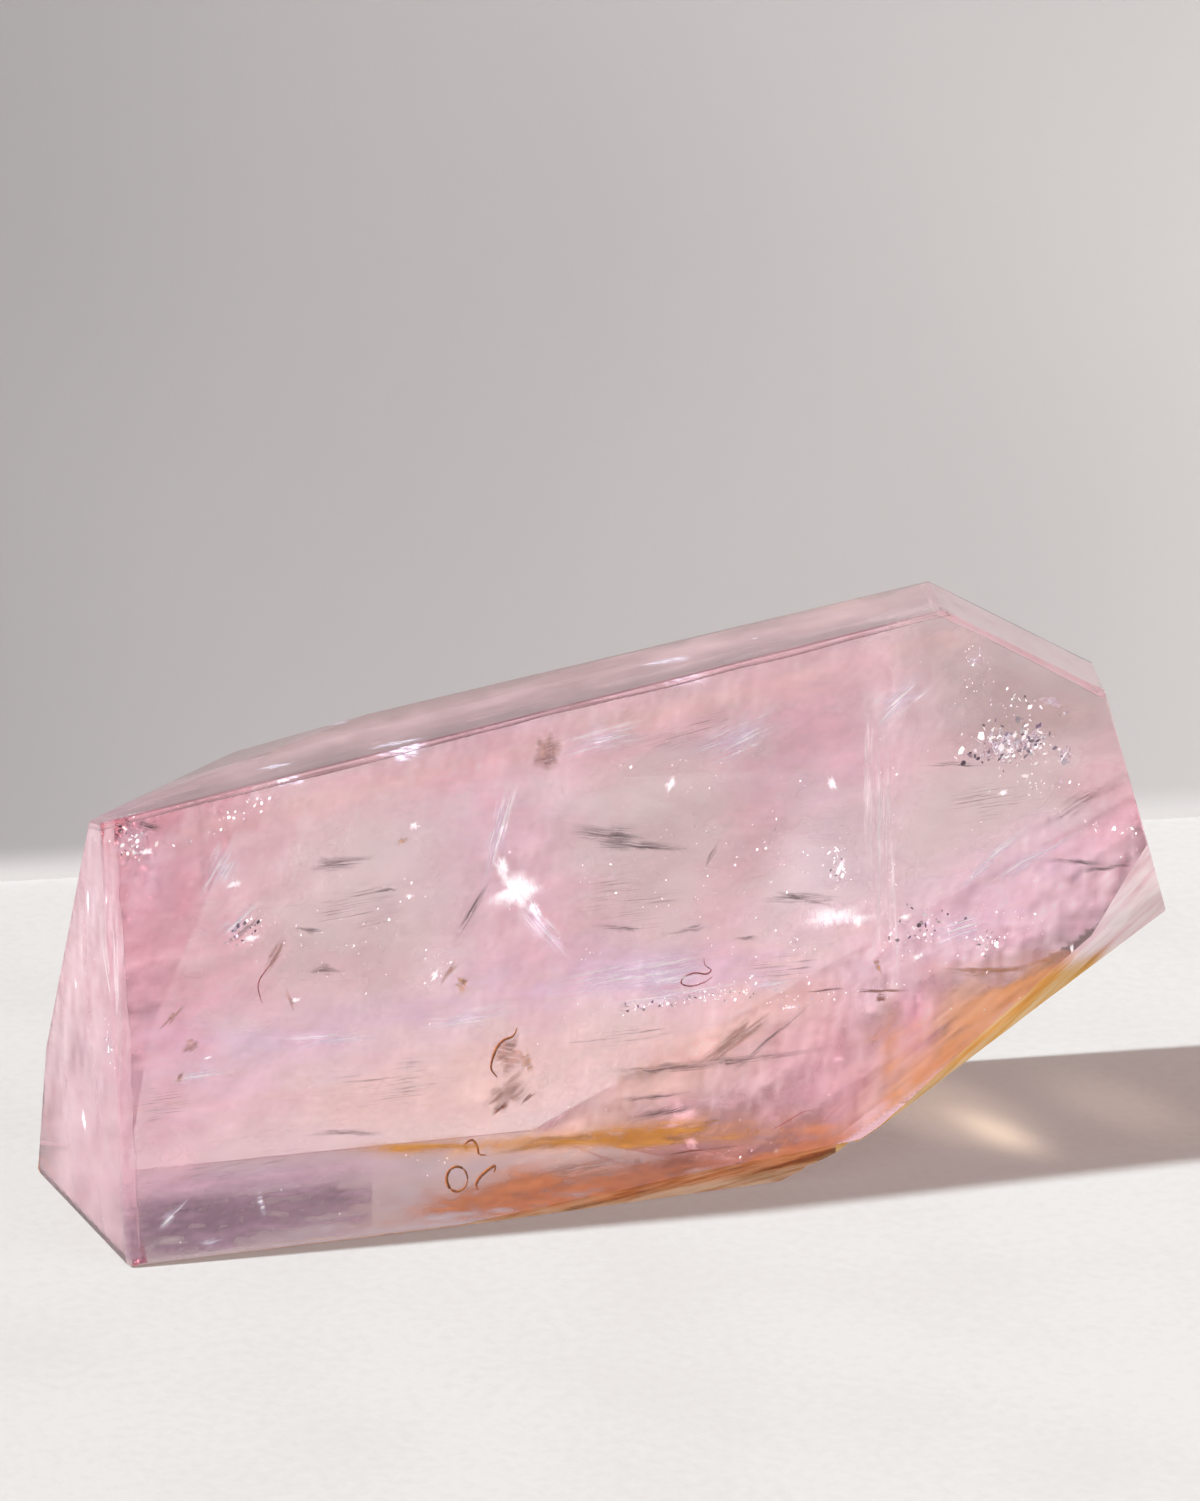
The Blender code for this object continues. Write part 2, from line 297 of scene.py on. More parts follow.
# Haze: faint clouds of fine fibres and fluid specks. Each kind has its two shades, the length and
# width of its streaks in mm, their roll in degrees, how strongly they show, and its patches: the
# pixel at the middle, half length and half height in pixels, roll, and thickness from 0 to 1.
FRONT_HAZE = (
    # This greyish kind is painted shade: it darkens the clear parts as darker surroundings seen through
    # them would.
    ("#A89290", "#C2AEA8", (12.0, 4.0), 10, 0.3, {
        "left": (380, 860, 150, 90, 0, 0.32),
        "left lower": (320, 945, 120, 50, 0, 0.35),
        "middle": (640, 850, 120, 110, 0, 0.45),
        "right": (985, 790, 150, 120, 20, 0.45),
        "upper right": (1010, 690, 160, 50, -25, 0.35),
        "upper middle": (760, 790, 90, 90, 0, 0.35),
    }),
    # This dark mauve kind is a painted reflection of dark surroundings in the base.
    ("#7E6474", "#A98C9C", (9.0, 0.9), 5, 0.8, {
        "mirrored at the foot": (235, 1215, 120, 28, 6, 0.7),
    }),
    ("#E2AABB", "#EEC4CF", (7.0, 1.4), 14, 0.5, {
        "left edge": (150, 900, 75, 120, 0, 0.75),
        "left of the clear part": (255, 860, 60, 90, -20, 0.45),
        "over the middle line": (900, 760, 220, 26, 4, 0.30),
        "left edge, low": (150, 1020, 70, 90, 0, 0.50),
        "foot": (150, 1150, 60, 80, 0, 0.35),
        "by the middle flash": (510, 860, 60, 150, 12, 0.55),
        "upper left": (400, 780, 170, 40, 13, 0.50),
        "upper middle": (680, 705, 200, 50, 14, 0.50),
        "slanting": (745, 850, 38, 150, -20, 0.45),
        "upper right": (840, 720, 70, 80, 0, 0.50),
        "right end": (1118, 820, 40, 70, 0, 0.80),
        "right lower": (1010, 905, 120, 55, 18, 0.50),
        "low left": (250, 1110, 150, 50, 0, 0.30),
        "under the overhang": (810, 1070, 90, 90, 25, 0.40),
        "middle": (560, 930, 110, 60, 0, 0.35),
        "left middle": (250, 990, 160, 50, 0, 0.45),
    }),
    ("#D3BBE2", "#EADCF3", (9.0, 0.8), 6, 0.7, {
        "main band": (625, 972, 120, 26, 6, 1.0),
        "band, left": (440, 1010, 130, 18, 4, 0.55),
        "band, far left": (290, 1040, 130, 22, 2, 0.50),
        "band, right": (750, 975, 80, 20, 4, 0.45),
        "low left": (210, 1085, 110, 55, 0, 0.45),
        "right lower": (960, 925, 120, 50, 18, 0.50),
        "right": (1050, 870, 80, 40, 22, 0.45),
        "middle": (500, 850, 80, 110, 0, 0.30),
        "top corner": (135, 850, 45, 45, 0, 0.50),
        "middle right": (830, 800, 80, 100, 0, 0.30),
        # Painted reflection of the lilac band in the base.
        "mirrored at the foot": (240, 1180, 130, 14, 6, 0.35),
    }),
    ("#F2DAE2", "#FFF8FB", (5.0, 0.7), 78, 0.8, {
        "round the middle flash": (520, 885, 60, 80, -10, 0.50),
        "upright veil": (883, 830, 20, 230, -2, 0.60),
        "long lens": (834, 917, 44, 10, 6, 1.3),
        "on the line": (960, 950, 100, 18, 5, 0.40),
        "left": (250, 870, 120, 80, 20, 0.25),
        "upper": (520, 745, 340, 34, 14, 0.40),
        "bright slope": (985, 862, 90, 10, 38, 0.45),
        "right of the upright veil": (930, 700, 60, 50, 0, 0.30),
        "low": (640, 1090, 200, 30, 5, 0.20),
        "right": (1045, 895, 130, 55, 18, 0.95),
        "under the overhang": (800, 1080, 110, 60, 25, 0.30),
        "windows": (640, 1015, 280, 65, 4, 0.36),
    }),
    ("#D9963C", "#F2C583", (8.0, 0.9), 38, 0.6, {
        "over the brown line": (980, 968, 80, 10, 0, 0.4),
        "band over the keel": (560, 1141, 130, 8, 4, 0.8),
        "haze over the keel": (690, 1130, 60, 9, 6, 0.6),
    }),
    ("#C98258", "#E3A684", (9.0, 0.8), 8, 0.5, {
        "keel": (650, 1180, 190, 24, 7, 0.8),
        "left of the keel": (480, 1210, 80, 20, 8, 0.3),
    }),
    ("#E9C3AC", "#F8E2D4", (9.0, 1.0), 12, 0.5, {
        "under the top edge": (540, 745, 430, 14, 14.5, 0.55),
        "low left": (300, 1105, 150, 28, 0, 0.30),
        "low middle": (480, 1080, 60, 50, 0, 0.30),
        "clear windows": (520, 1060, 280, 70, 5, 0.42),
        "right window": (760, 965, 110, 30, 4, 0.30),
        "by the edge of the overhang": (700, 1052, 135, 24, 33, 0.95),
    }),
)
LEFT_END_HAZE = (
    ("#DFB4C1", "#EAC8D2", (9.0, 2.0), 80, 0.12, {
        "whole": (80, 1010, 60, 300, 0, 0.55),
        "low": (90, 1180, 60, 110, 0, 0.5),
    }),
    ("#EFDCE6", "#FBF0F4", (7.0, 0.6), 84, 0.8, {
        "streak": (88, 890, 14, 70, 0, 0.5),
        "middle": (70, 1000, 50, 130, 0, 0.50),
    }),
)
TOP_HAZE = (
    ("#755860", "#A5868C", (12.0, 0.6), 15, 0.7, {
        "front edge": (600, 696, 460, 11, 14.5, 1.4),
        "left": (230, 788, 150, 10, 15, 0.6),
    }),
    ("#D9B2BA", "#EBCDD3", (14.0, 2.0), 15, 0.4, {
        "back edge": (600, 675, 480, 16, 14.3, 0.7),
    }),
)
RIGHT_SLOPE_HAZE = (
    ("#F4DDE1", "#FFF5F7", (7.0, 1.5), -35, 0.5, {
        "whole": (1010, 640, 120, 60, -30, 2.0),
    }),
)
# Painted reflection: the dark mauve block at the foot and the strips by it stand in for the dark
# surroundings that the base reflects.
FOOT_PAINTED_REFLECTION = (
    ("#735C6C", "#AC90A2", (5.0, 0.6), 6, 0.8, {
        "block": (255, 1214, 190, 27, 7, 0.95),
        "block, left": (160, 1238, 70, 22, 4, 0.6),
    }),
    ("#C99FB6", "#E4C4D4", (9.0, 1.0), 6, 0.6, {
        "strip above the block": (240, 1180, 150, 9, 6, 0.55),
        "left": (128, 1235, 8, 60, 0, 0.5),
    }),
)
BREAKS_HAZE = (
    ("#B06A18", "#DAA058", (8.0, 0.8), 37, 0.7, {
        "along the right break": (982, 1050, 130, 22, 37, 1.8),
        "under the brown line": (1000, 1004, 70, 12, 16, 1.0),
        "left of the pink window": (893, 1070, 10, 50, 0, 0.7),
        "above the right break": (1030, 985, 55, 9, 20, 0.6),
        "foot": (430, 1236, 70, 5, 7, 0.7),
    }),
    ("#DAA884", "#EBC9AE", (8.0, 0.8), 37, 0.4, {
        "beside the right break": (955, 1035, 110, 28, 37, 0.8),
        "right of the window": (965, 1010, 30, 22, 0, 0.6),
    }),
    ("#E2A6BA", "#F3CFD9", (7.0, 1.2), 80, 0.3, {
        "pink window": (918, 1020, 20, 30, 0, 1.0),
        "under the overhang": (845, 1085, 60, 50, 30, 0.5),
    }),
    ("#A05228", "#D08858", (9.0, 0.7), 8, 0.7, {
        "over the keel": (650, 1182, 190, 17, 6, 1.1),
        "keel, right": (800, 1150, 60, 16, 18, 1.2),
        "left of the keel": (480, 1208, 70, 22, 7, 0.6),
    }),
    ("#8A5244", "#B0786A", (5.0, 0.9), 8, 0.5, {
        "dark box": (675, 1167, 42, 11, 8, 1.0),
        "dark foot": (480, 1226, 42, 5, 7, 0.8),
        "keel's end": (815, 1162, 34, 9, 22, 0.7),
    }),
    ("#B0700F", "#DEA342", (7.0, 0.5), 3, 0.9, {
        "band": (600, 1141, 140, 6, 2, 1.0),
        "cloud on the band": (650, 1132, 60, 8, 6, 1.0),
        "band, left end": (440, 1147, 55, 3, 1, 0.8),
    }),
)

# Sheets of haze: the facet they lie behind, the pixels of the photograph that they span (left,
# right, top, bottom), their depth in mm, the steps between their points across and down in pixels,
# their kinds, and a share that thins them all.
HAZE_SHEETS = {
    "haze_near": ("front", (70, 1180, 580, 1300), 7.0, (6, 6), FRONT_HAZE, 0.55),
    "haze_far": ("front", (70, 1180, 580, 1300), 15.0, (8, 8), FRONT_HAZE, 0.6),
    "haze_left_end": ("left end", (25, 140, 805, 1285), 1.4, (4, 6), LEFT_END_HAZE, 1.0),
    "haze_top": ("top", (80, 960, 570, 840), 0.7, (6, 1), TOP_HAZE, 1.0),
    "haze_right_slope": ("right slope", (900, 1125, 570, 720), 0.7, (4, 2), RIGHT_SLOPE_HAZE, 1.0),
    "painted_reflection_foot": ("front", (112, 372, 1150, 1270), 0.9, (5, 4), FOOT_PAINTED_REFLECTION, 1.0),
    "haze_breaks": ("front", (330, 1090, 950, 1260), 0.9, (5, 4), BREAKS_HAZE, 1.0),
}

# The haze fades out over this last stretch under the skin, in mm, and is left out where thinner
# than this share. No kind covers more than HAZE_MOST, and a sheet's kinds share HAZE_SEEDS seeds.
HAZE_FADE = 0.5
HAZE_LEAST = 0.02
HAZE_MOST = 0.95
HAZE_SEEDS = 10.0

# Painted light: emission of the haze inside the stone, and of the haze just under its other facets,
# standing in for the light that scatters in it.
HAZE_PAINTED_GLOW = 0.42
OUTER_HAZE_PAINTED_GLOW = 0.14

# Films of iron oxide in the fractures, in the same form as the fractures.
PEACH_STAINS = {
    "upper middle": (547, 752, 3.5, 3.8, 4.8, 10, 15, 0),
    "brown film": (508, 1054, 4.6, 4.0, 6.0, -14, 10, 0),
    "beside the brown film": (505, 1095, 4.8, 7.0, 4.0, 40, 20, 0),
    "low slanting": (735, 1040, 4.8, 11.0, 2.6, 35, 20, 0),
    "by the lower edge": (560, 1178, 3.0, 24.0, 4.0, 7, 10, 0),
    "left of the middle": (275, 955, 3.9, 6.0, 1.2, 58, 15, 0),
    "red thread veil": (290, 1000, 3.9, 4.0, 0.5, -70, 10, 0),
    "left, reddish": (190, 1046, 3.5, 2.6, 1.8, 20, 10, 0),
    "left, reddish, below": (180, 1078, 3.5, 1.6, 0.8, 60, 10, 0),
    "left, reddish, slanting": (172, 1018, 3.5, 4.0, 0.9, 42, 10, 0),
}
GOLD_STAINS = {
    "band": (560, 1141, 3.1, 15.0, 2.0, 4, 30, 0),
    "band, right": (665, 1141, 3.1, 12.0, 1.8, 8, 30, 0),
    "haze": (690, 1128, 3.5, 10.0, 2.0, 5, 30, 0),
    "left line": (425, 1147, 4.0, 10.0, 0.5, 1, 30, 0),
    "line to the right": (800, 1146, 3.0, 10.0, 0.6, 8, 30, 0),
    "over the line": (980, 972, 3.1, 13.0, 2.0, -2, 30, 0),
    "over the line, right": (1040, 962, 4.0, 6.0, 1.6, 12, 30, 0),
    "middle stain": (462, 984, 4.4, 2.2, 2.4, -30, 15, 0),
    "middle stain, arm": (448, 973, 4.4, 3.6, 1.0, 50, 15, 0),
    "upper stain": (402, 841, 3.9, 1.6, 0.8, 25, 15, 0),
    "ticks": (757, 1131, 4.0, 0.6, 1.2, 0, 10, 0),
    "ticks, second": (748, 1130, 4.0, 0.5, 1.3, 0, 10, 0),
    "ticks, third": (782, 1128, 4.0, 0.6, 1.2, -10, 10, 0),
    "right of the pink window": (985, 1040, 4.0, 9.0, 5.0, 38, 10, 0),
    "below the pink window": (935, 1078, 4.0, 9.0, 6.0, 38, 10, 0),
    "left of the pink window": (890, 1060, 3.1, 2.0, 10.0, 0, 10, 0),
    "above the line, small": (878, 966, 3.1, 1.0, 2.6, 20, 10, 0),
    "by the brown film": (527, 1062, 4.8, 1.8, 4.0, 20, 10, 0),
    "base strip": (330, 1252, 0.8, 26.0, 0.8, 8, 5, 0),
}
BROWN_STAINS = {
    "on the line": (880, 991, 4.0, 8.0, 0.5, -2, 20, 0),
    "knot on the line": (881, 998, 4.0, 1.4, 1.6, 0, 10, 0),
    "second knot": (956, 991, 4.0, 1.0, 0.5, 0, 10, 0),
    "line, left": (830, 990, 3.1, 6.0, 0.35, 1, 20, 0),
    "foot of the front": (485, 1223, 0.5, 8.4, 1.1, 8, 5, 0),
    "dark box": (675, 1166, 3.0, 9.6, 2.6, 8, 10, 0),
    "box, left end": (640, 1170, 2.6, 3.0, 2.8, 8, 10, 0),
    "line over the box": (700, 1150, 3.0, 11.0, 0.35, 4, 20, 0),
    "line by the foot": (590, 1196, 2.0, 14.0, 0.35, 10, 10, 0),
    "film on the keel": (800, 1160, 1.0, 9.0, 1.6, 14, 10, 0),
    "specks": (500, 1108, 4.8, 2.6, 0.9, 35, 10, 0),
    "specks, second": (528, 1098, 4.8, 2.6, 0.6, 40, 10, 0),
}

# Threads of iron oxide: pixels of the photograph that each one runs through, its depth behind the
# front facet and its thickness in mm. Their ends have THREAD_END of that thickness, and their grain
# is THREAD_GRAIN mm wide.
THREAD_END = 0.35
THREAD_GRAIN = 0.6
RUST_THREADS = {
    "hook": (((478, 1190), (476, 1184), (481, 1176), (489, 1169), (495, 1166), (494, 1172)), 2.5, 0.36),
    "squiggle": (((466, 1150), (465, 1144), (472, 1140), (477, 1146), (479, 1154), (486, 1155)), 3.0, 0.26),
    "edge of the brown film": (
        ((517, 1028), (513, 1036), (504, 1040), (498, 1046), (494, 1054), (491, 1068), (497, 1077)),
        4.5,
        0.28,
    ),
}

# A rust thread that closes into a ring: the pixel at its middle, its depth in mm, half its width and
# height in pixels, its thickness in mm, and the number of its corners.
RUST_RING = (457, 1179, 2.5, 10.5, 12.5, 0.32, 24)

# Red threads, in the same form as the rust ones.
RED_THREADS = {
    "coil": (
        ((704, 958), (705, 965), (711, 970), (706, 974), (694, 973), (683, 978), (682, 984), (692, 986),
         (705, 982), (712, 977)),
        4.5,
        0.18,
    ),
    "arc": (((772, 1130), (786, 1122), (803, 1112), (818, 1110)), 4.0, 0.12),
    "slanting": (((262, 1003), (258, 985), (266, 970), (280, 955)), 4.5, 0.12),
}

# One spark: its fewest and most corners, its least and greatest width as a share of its length, and
# the least and greatest reach of a corner as a share of its size.
SPARK_CORNERS = (4, 6)
SPARK_WIDTHS = (0.35, 1.0)
SPARK_REACHES = (0.6, 1.0)

# A swarm: how far it spreads along, across and in depth, as a share of its size; the greatest depth
# in mm that counts for that; how rare its large sparks are; the least size in mm of a spark and of a
# flake of a crumpled fracture; and the seed of all the draws.
SWARM_SPREAD = (0.27, 0.27, 0.3)
SWARM_DEPTH = 3.0
SWARM_RARITY = 2.2
LEAST_SPARK = 0.1
LEAST_FLAKE = 0.25
SWARM_SEED = 5

# Swarms of sparks: the pixel at the middle, depth, length and height of the swarm in mm, roll in
# degrees, number of sparks, and how much larger than the least the largest can be, in mm.
SPARKS = {
    "under the top edge": (233, 815, 4.0, 7.0, 2.2, 25, 34, 0.42),
    "under the top edge, right": (258, 800, 4.0, 4.0, 1.0, 10, 16, 0.40),
    "top corner": (130, 838, 2.0, 3.0, 4.4, 0, 26, 0.40),
    "left edge": (112, 1050, 1.4, 0.8, 5.0, 0, 12, 0.36),
    "left middle": (250, 930, 3.5, 6.0, 4.0, 30, 22, 0.32),
    "left of the flash": (395, 905, 4.4, 6.0, 4.0, 30, 20, 0.34),
    "by the orange stain": (440, 965, 4.4, 3.6, 3.2, -50, 24, 0.42),
    "over the band": (590, 955, 4.4, 6.0, 1.0, 10, 12, 0.30),
    "below the band": (680, 998, 4.4, 18.0, 1.6, 6, 90, 0.34),
    "below the band, right": (800, 1000, 4.4, 9.0, 1.6, 4, 36, 0.30),
    "upright veil": (888, 880, 3.5, 30.0, 1.6, 91, 60, 0.26),
    "over the upright veil": (838, 862, 3.9, 2.4, 5.0, 0, 26, 0.44),
    "upper right": (1000, 705, 4.0, 9.0, 2.6, -30, 44, 0.36),
    "upper right, low": (1040, 785, 3.1, 8.0, 1.6, -8, 44, 0.36),
    "right": (1110, 830, 3.1, 7.0, 1.2, -12, 30, 0.50),
    "right, middle": (1075, 845, 3.5, 12.0, 4.0, -20, 24, 0.26),
    "right, low": (985, 945, 3.1, 4.0, 3.4, 0, 34, 0.40),
    "right, low, long": (1010, 910, 3.5, 9.0, 2.0, -20, 26, 0.34),
    "lower right": (930, 945, 3.5, 8.0, 5.0, 20, 34, 0.34),
    "top edge at the right": (975, 655, 3.0, 4.0, 2.0, -40, 26, 0.34),
    "upper middle": (700, 770, 3.9, 16.0, 6.0, 0, 36, 0.30),
    "middle": (640, 870, 4.8, 24.0, 8.0, 0, 60, 0.30),
    "right of the middle": (770, 860, 4.4, 14.0, 10.0, 0, 50, 0.32),
    "left of the middle": (360, 950, 4.4, 20.0, 9.0, 10, 60, 0.30),
    "over the window": (800, 950, 5.2, 9.0, 3.0, 10, 22, 0.26),
    "under the golden band": (620, 1145, 4.0, 16.0, 1.4, 5, 30, 0.26),
    "keel": (750, 1150, 2.0, 8.0, 1.2, 5, 24, 0.34),
    "low left": (430, 1165, 3.0, 6.0, 3.0, 0, 12, 0.44),
    # Painted reflection: these sparks stand where the base mirrors the inside of the stone.
    "in the mirror": (250, 1215, 4.0, 18.0, 4.0, 5, 40, 0.24),
    "line": (900, 985, 4.0, 16.0, 0.8, 0, 20, 0.24),
    "whole stone": (620, 930, 6.0, 80.0, 26.0, 8, 260, 0.20),
    "left end": (85, 1010, 2.0, 3.0, 22.0, 0, 24, 0.24),
}

# Crumpled fractures that glitter like foil, partly by reflecting the lamps and partly by painted glints,
# in the same form.
CRUMPLES = {
    "upper right": (1000, 745, 3.0, 6.5, 3.6, 0, 150, 0.9),
    "upper right, second": (1035, 742, 3.2, 3.4, 3.0, -10, 60, 0.8),
    "upper right, small": (1066, 756, 3.0, 1.4, 2.2, 0, 26, 0.8),
    "upper right, chain": (1040, 705, 3.0, 5.0, 1.2, -25, 26, 0.5),
    "top corner": (132, 842, 2.0, 2.6, 2.8, -20, 40, 0.6),
    "over the golden band": (984, 944, 3.4, 3.0, 2.4, 0, 40, 0.5),
    "lower right": (925, 925, 3.6, 6.0, 3.4, 20, 60, 0.5),
    "beside the upright veil": (836, 868, 3.6, 2.0, 4.0, -20, 30, 0.5),
    "low bright fringe": (690, 1000, 3.6, 15.0, 0.9, 4, 70, 0.4),
    "left edge": (110, 1050, 1.2, 0.9, 3.6, 0, 20, 0.5),
    "left, with colours": (246, 932, 3.4, 4.0, 2.4, 30, 30, 0.5),
}

# Floor: its side in metres, its level, a hair below the stone, the width of its specks and of its
# clouds in mm, and the height of its specks in mm.
FLOOR_SIZE = 4.0
FLOOR_LEVEL = -0.0002
FLOOR_SPECK = 1.2
FLOOR_CLOUD = 25
FLOOR_RELIEF = 0.1

# Backdrop: its side and the height of its middle in metres, and its turn in degrees.
WALL_SIZE = 1.6
WALL_MIDDLE = 0.3
WALL_TURN = -8

# Painted light on the backdrop: its colour runs from darker at its left to lighter at its right,
# over this width in metres, and it glows as well. Clouds of this width in mm add to the place on the
# ramp by up to this share, and WALL_SHIFT takes their mean off.
WALL_SPAN = 0.24
WALL_PAINTED_LIGHT_STOPS = ((0.0, "#9A9697"), (0.35, "#B2AEAF"), (0.75, "#C9C5C5"), (1.0, "#D9D5D4"))
WALL_CLOUD = 90
WALL_CLOUD_SHARE = 0.35
WALL_SHIFT = 0.17
WALL_PAINTED_GLOW = 0.45

# Its foot sweeps into the floor: over this height in mm it turns to a painted copy of the lit floor's
# colour.
WALL_SWEEP = 4.0
WALL_FOOT_PAINTED_LIGHT = "#E3E0DF"

# Key light: its colour, and the angle in degrees that softens the edge of its shadow.
KEY_COLOUR = "#FFFEFD"
KEY_ANGLE = 2.0

# Soft fill: its power in watts, its size, its place and the point that it faces, in metres.
FILL_POWER = 0.5
FILL_SIZE = 0.5
FILL_PLACE = (0.35, -0.35, 0.7)
FILL_TOWARDS = (0.2, 0.1, 0.1)

# Sunlight that the stone bends down into its own shadow: the pixel where each patch lies on the
# floor, its half width in mm, and the power of its lamp in watts. The lamps stand this far off in
# one direction, and are this wide, in metres.
BENT_LIGHT = {
    "glow": (945, 1108, 8.0, 1.7),
    "streak": (985, 1122, 2.6, 3.0),
    "streak, end": (1012, 1138, 1.5, 3.6),
    "far patch": (1120, 1104, 6.0, 0.9),
}
BENT_LIGHT_FROM = (0.28, -0.82, 0.5)
BENT_LIGHT_DISTANCE = 0.3
BENT_LIGHT_SIZE = 0.002
BENT_LIGHT_COLOUR = "#FFE2C0"

# Light of the studio's walls and ceiling, by how steeply it comes down: 0 level, 1 from overhead.
WORLD_STOPS = ((0.0, "#6C6B6C"), (0.5, "#7A7878"), (0.8, "#A09B98"), (1.0, "#D4CDC8"))

# The camera leaves out what is nearer to it than this, in metres.
NEAREST_SEEN = 0.01


def linear(hex_colour):
    """An sRGB hex colour as the linear values that shaders take."""
    values = [int(hex_colour[i : i + 2], 16) / 255 for i in (1, 3, 5)]
    return [v / 12.92 if v <= 0.04045 else ((v + 0.055) / 1.055) ** 2.4 for v in values] + [1.0]


def outward(heading, rise):
    """Unit vector that a facet faces along."""
    turn = math.radians(heading)
    lift = math.radians(rise)
    return Vector((math.cos(lift) * math.cos(turn), math.cos(lift) * math.sin(turn), math.sin(lift)))


def sight_line(px, py):
    """The camera's place, and the direction in which it sees this pixel of the photograph."""
    place = FOOT + Vector(CAMERA_FROM_FOOT) * MM
    turn = math.radians(CAMERA_AZIMUTH)
    drop = math.radians(CAMERA_DROP)
    ahead = Vector((math.sin(turn) * math.cos(drop), math.cos(turn) * math.cos(drop), -math.sin(drop)))
    right = Vector((math.cos(turn), -math.sin(turn), 0.0))
    over = right.cross(ahead)
    across = (px - PHOTO_WIDTH / 2) / PHOTO_FOCAL_PIXELS
    down = (py - PHOTO_HEIGHT / 2) / PHOTO_FOCAL_PIXELS
    return place, (ahead + right * across - over * down).normalized()


def seen_through(facet, px, py, depth):
    """The point that shows at this pixel through a facet, and the way of the light's path to it."""
    heading, rise, corner = FACETS[facet]
    normal = outward(heading, rise)
    eye, sight = sight_line(px, py)
    on_facet = eye + sight * ((FOOT + Vector(corner) * MM - eye).dot(normal) / sight.dot(normal))
    facing = -sight.dot(normal)
    bend = 1 / QUARTZ_IOR
    inner = sight * bend + normal * (bend * facing - math.sqrt(1 - bend**2 * (1 - facing**2)))
    return on_facet + inner * (depth * MM / -inner.dot(normal)), inner.normalized()


def stone_bmesh():
    """The stone's own shape, to the last corner."""
    bm = bmesh.new()
    bm.from_mesh(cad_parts[NODE].data)
    bmesh.ops.remove_doubles(bm, verts=bm.verts[:], dist=MERGE_DISTANCE)
    return bm


def surface_of_stone():
    """The stone's skin, in a form that finds the nearest point on it."""
    bm = stone_bmesh()
    surface = BVHTree.FromBMesh(bm)
    bm.free()
    return surface


STONE_SURFACE = surface_of_stone()


def keep_inside(bm, margin):
    """Moves points that lie outside the stone, or nearly, back inside it."""
    for vert in bm.verts:
        for _ in range(INWARD_MOVES):
            nearest, normal, _, _ = STONE_SURFACE.find_nearest(vert.co)
            if (vert.co - nearest).dot(normal) > -margin:
                vert.co = nearest - normal * margin


def inner_piece(name, bm, material):
    """A piece inside the stone, attached to the same root as the stone."""
    keep_inside(bm, INNER_MARGIN * MM)
    bmesh.ops.triangulate(bm, faces=bm.faces[:])
    mesh = bpy.data.meshes.new(name)
    bm.to_mesh(mesh)
    bm.free()
    mesh.materials.append(material)
    mesh.shade_smooth()
    piece = bpy.data.objects.new(name, mesh)
    bpy.context.scene.collection.objects.link(piece)
    # Light inside the stone passes these thin sheets, as it does past scattered specks.
    piece.visible_shadow = False
    piece.visible_diffuse = False
    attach(piece, "root")
    return piece


def sheet_axes(facet, entry):
    """Place of a sheet and its three axes. It faces the line of sight, then leans, turns and rolls."""
    px, py, depth, _, _, roll, lean, turn = entry
    place, sight = seen_through(facet, px, py, depth)
    along = sight.cross(Vector((0.0, 0.0, 1.0))).normalized()
    upward = along.cross(sight)
    leant = Matrix.Rotation(math.radians(lean), 3, along)
    turned = Matrix.Rotation(math.radians(turn), 3, upward) @ leant
    axes = Matrix.Rotation(math.radians(-roll), 3, sight) @ turned
    return place, axes @ along, axes @ upward, axes @ -sight


def add_sheet(bm, axes, size, form, seed):
    """A ragged sheet such as a crack makes. form: height of its folds, their length, raggedness,
    rings and sectors of the mesh."""
    place, along, upward, facing = axes
    length, height = size
    folds, fold_length, ragged, rings, sectors = form
    sheet = bm.verts.layers.float_vector["sheet"]
    rim = bm.verts.layers.float["rim"]
    own = Vector([seed * shift for shift in SHEET_SHIFTS])
    made = []
    for ring in range(rings + 1):
        share = ring / rings
        for sector in range(sectors if ring else 1):
            angle = 2 * math.pi * sector / sectors
            turn = Vector((math.cos(angle), math.sin(angle), 0.0))
            lobes = noise.turbulence(turn * OUTLINE_LOBES + own, OUTLINE_OCTAVES, False)
            reach = share * (1 + ragged * lobes - ragged / 2)
            x = turn.x * reach * length / 2
            y = turn.y * reach * height / 2
            lift = folds * noise.fractal(Vector((x, y, 0.0)) / fold_length + own, *FOLD_NOISE)
            vert = bm.verts.new(place + (along * x + upward * y + facing * lift) * MM)
            vert[sheet] = Vector((x, y, seed * PATTERN_SHIFT))
            vert[rim] = share
            made.append(vert)
    for ring in range(rings):
        for sector in range(sectors):
            after = (sector + 1) % sectors
            outer = [made[1 + ring * sectors + i] for i in (sector, after)]
            inner = [made[1 + (ring - 1) * sectors + i] for i in (after, sector)] if ring else made[:1]
            bm.faces.new((*outer, *inner))


def thickness_at(px, py, patches, seed):
    """How thick the haze is at a pixel: its patches, with uneven outlines."""
    across, down = PATCH_LOBES
    lobes = noise.fractal(Vector((px / across, py / down, seed)), *PATCH_NOISE)
    uneven = 1 + PATCH_RAGGEDNESS * lobes
    total = 0.0
    for x, y, half_length, half_height, roll, strength in patches.values():
        turn = math.radians(roll)
        ahead = (px - x) * math.cos(turn) - (py - y) * math.sin(turn)
        over = (px - x) * math.sin(turn) + (py - y) * math.cos(turn)
        distance = math.hypot(ahead / half_length, over / half_height) / uneven
        total += strength * math.exp(-(distance**2))
    return total


def streaks_at(px, py, streak_mm, roll, seed):
    """Height of a kind's streaks at a pixel, from about -1 to 1."""
    turn = math.radians(roll)
    along = (px * math.cos(turn) - py * math.sin(turn)) * PIXEL_MM / streak_mm[0]
    across = (px * math.sin(turn) + py * math.cos(turn)) * PIXEL_MM / streak_mm[1]
    return noise.fractal(Vector((along, across, seed)), *STREAK_NOISE)


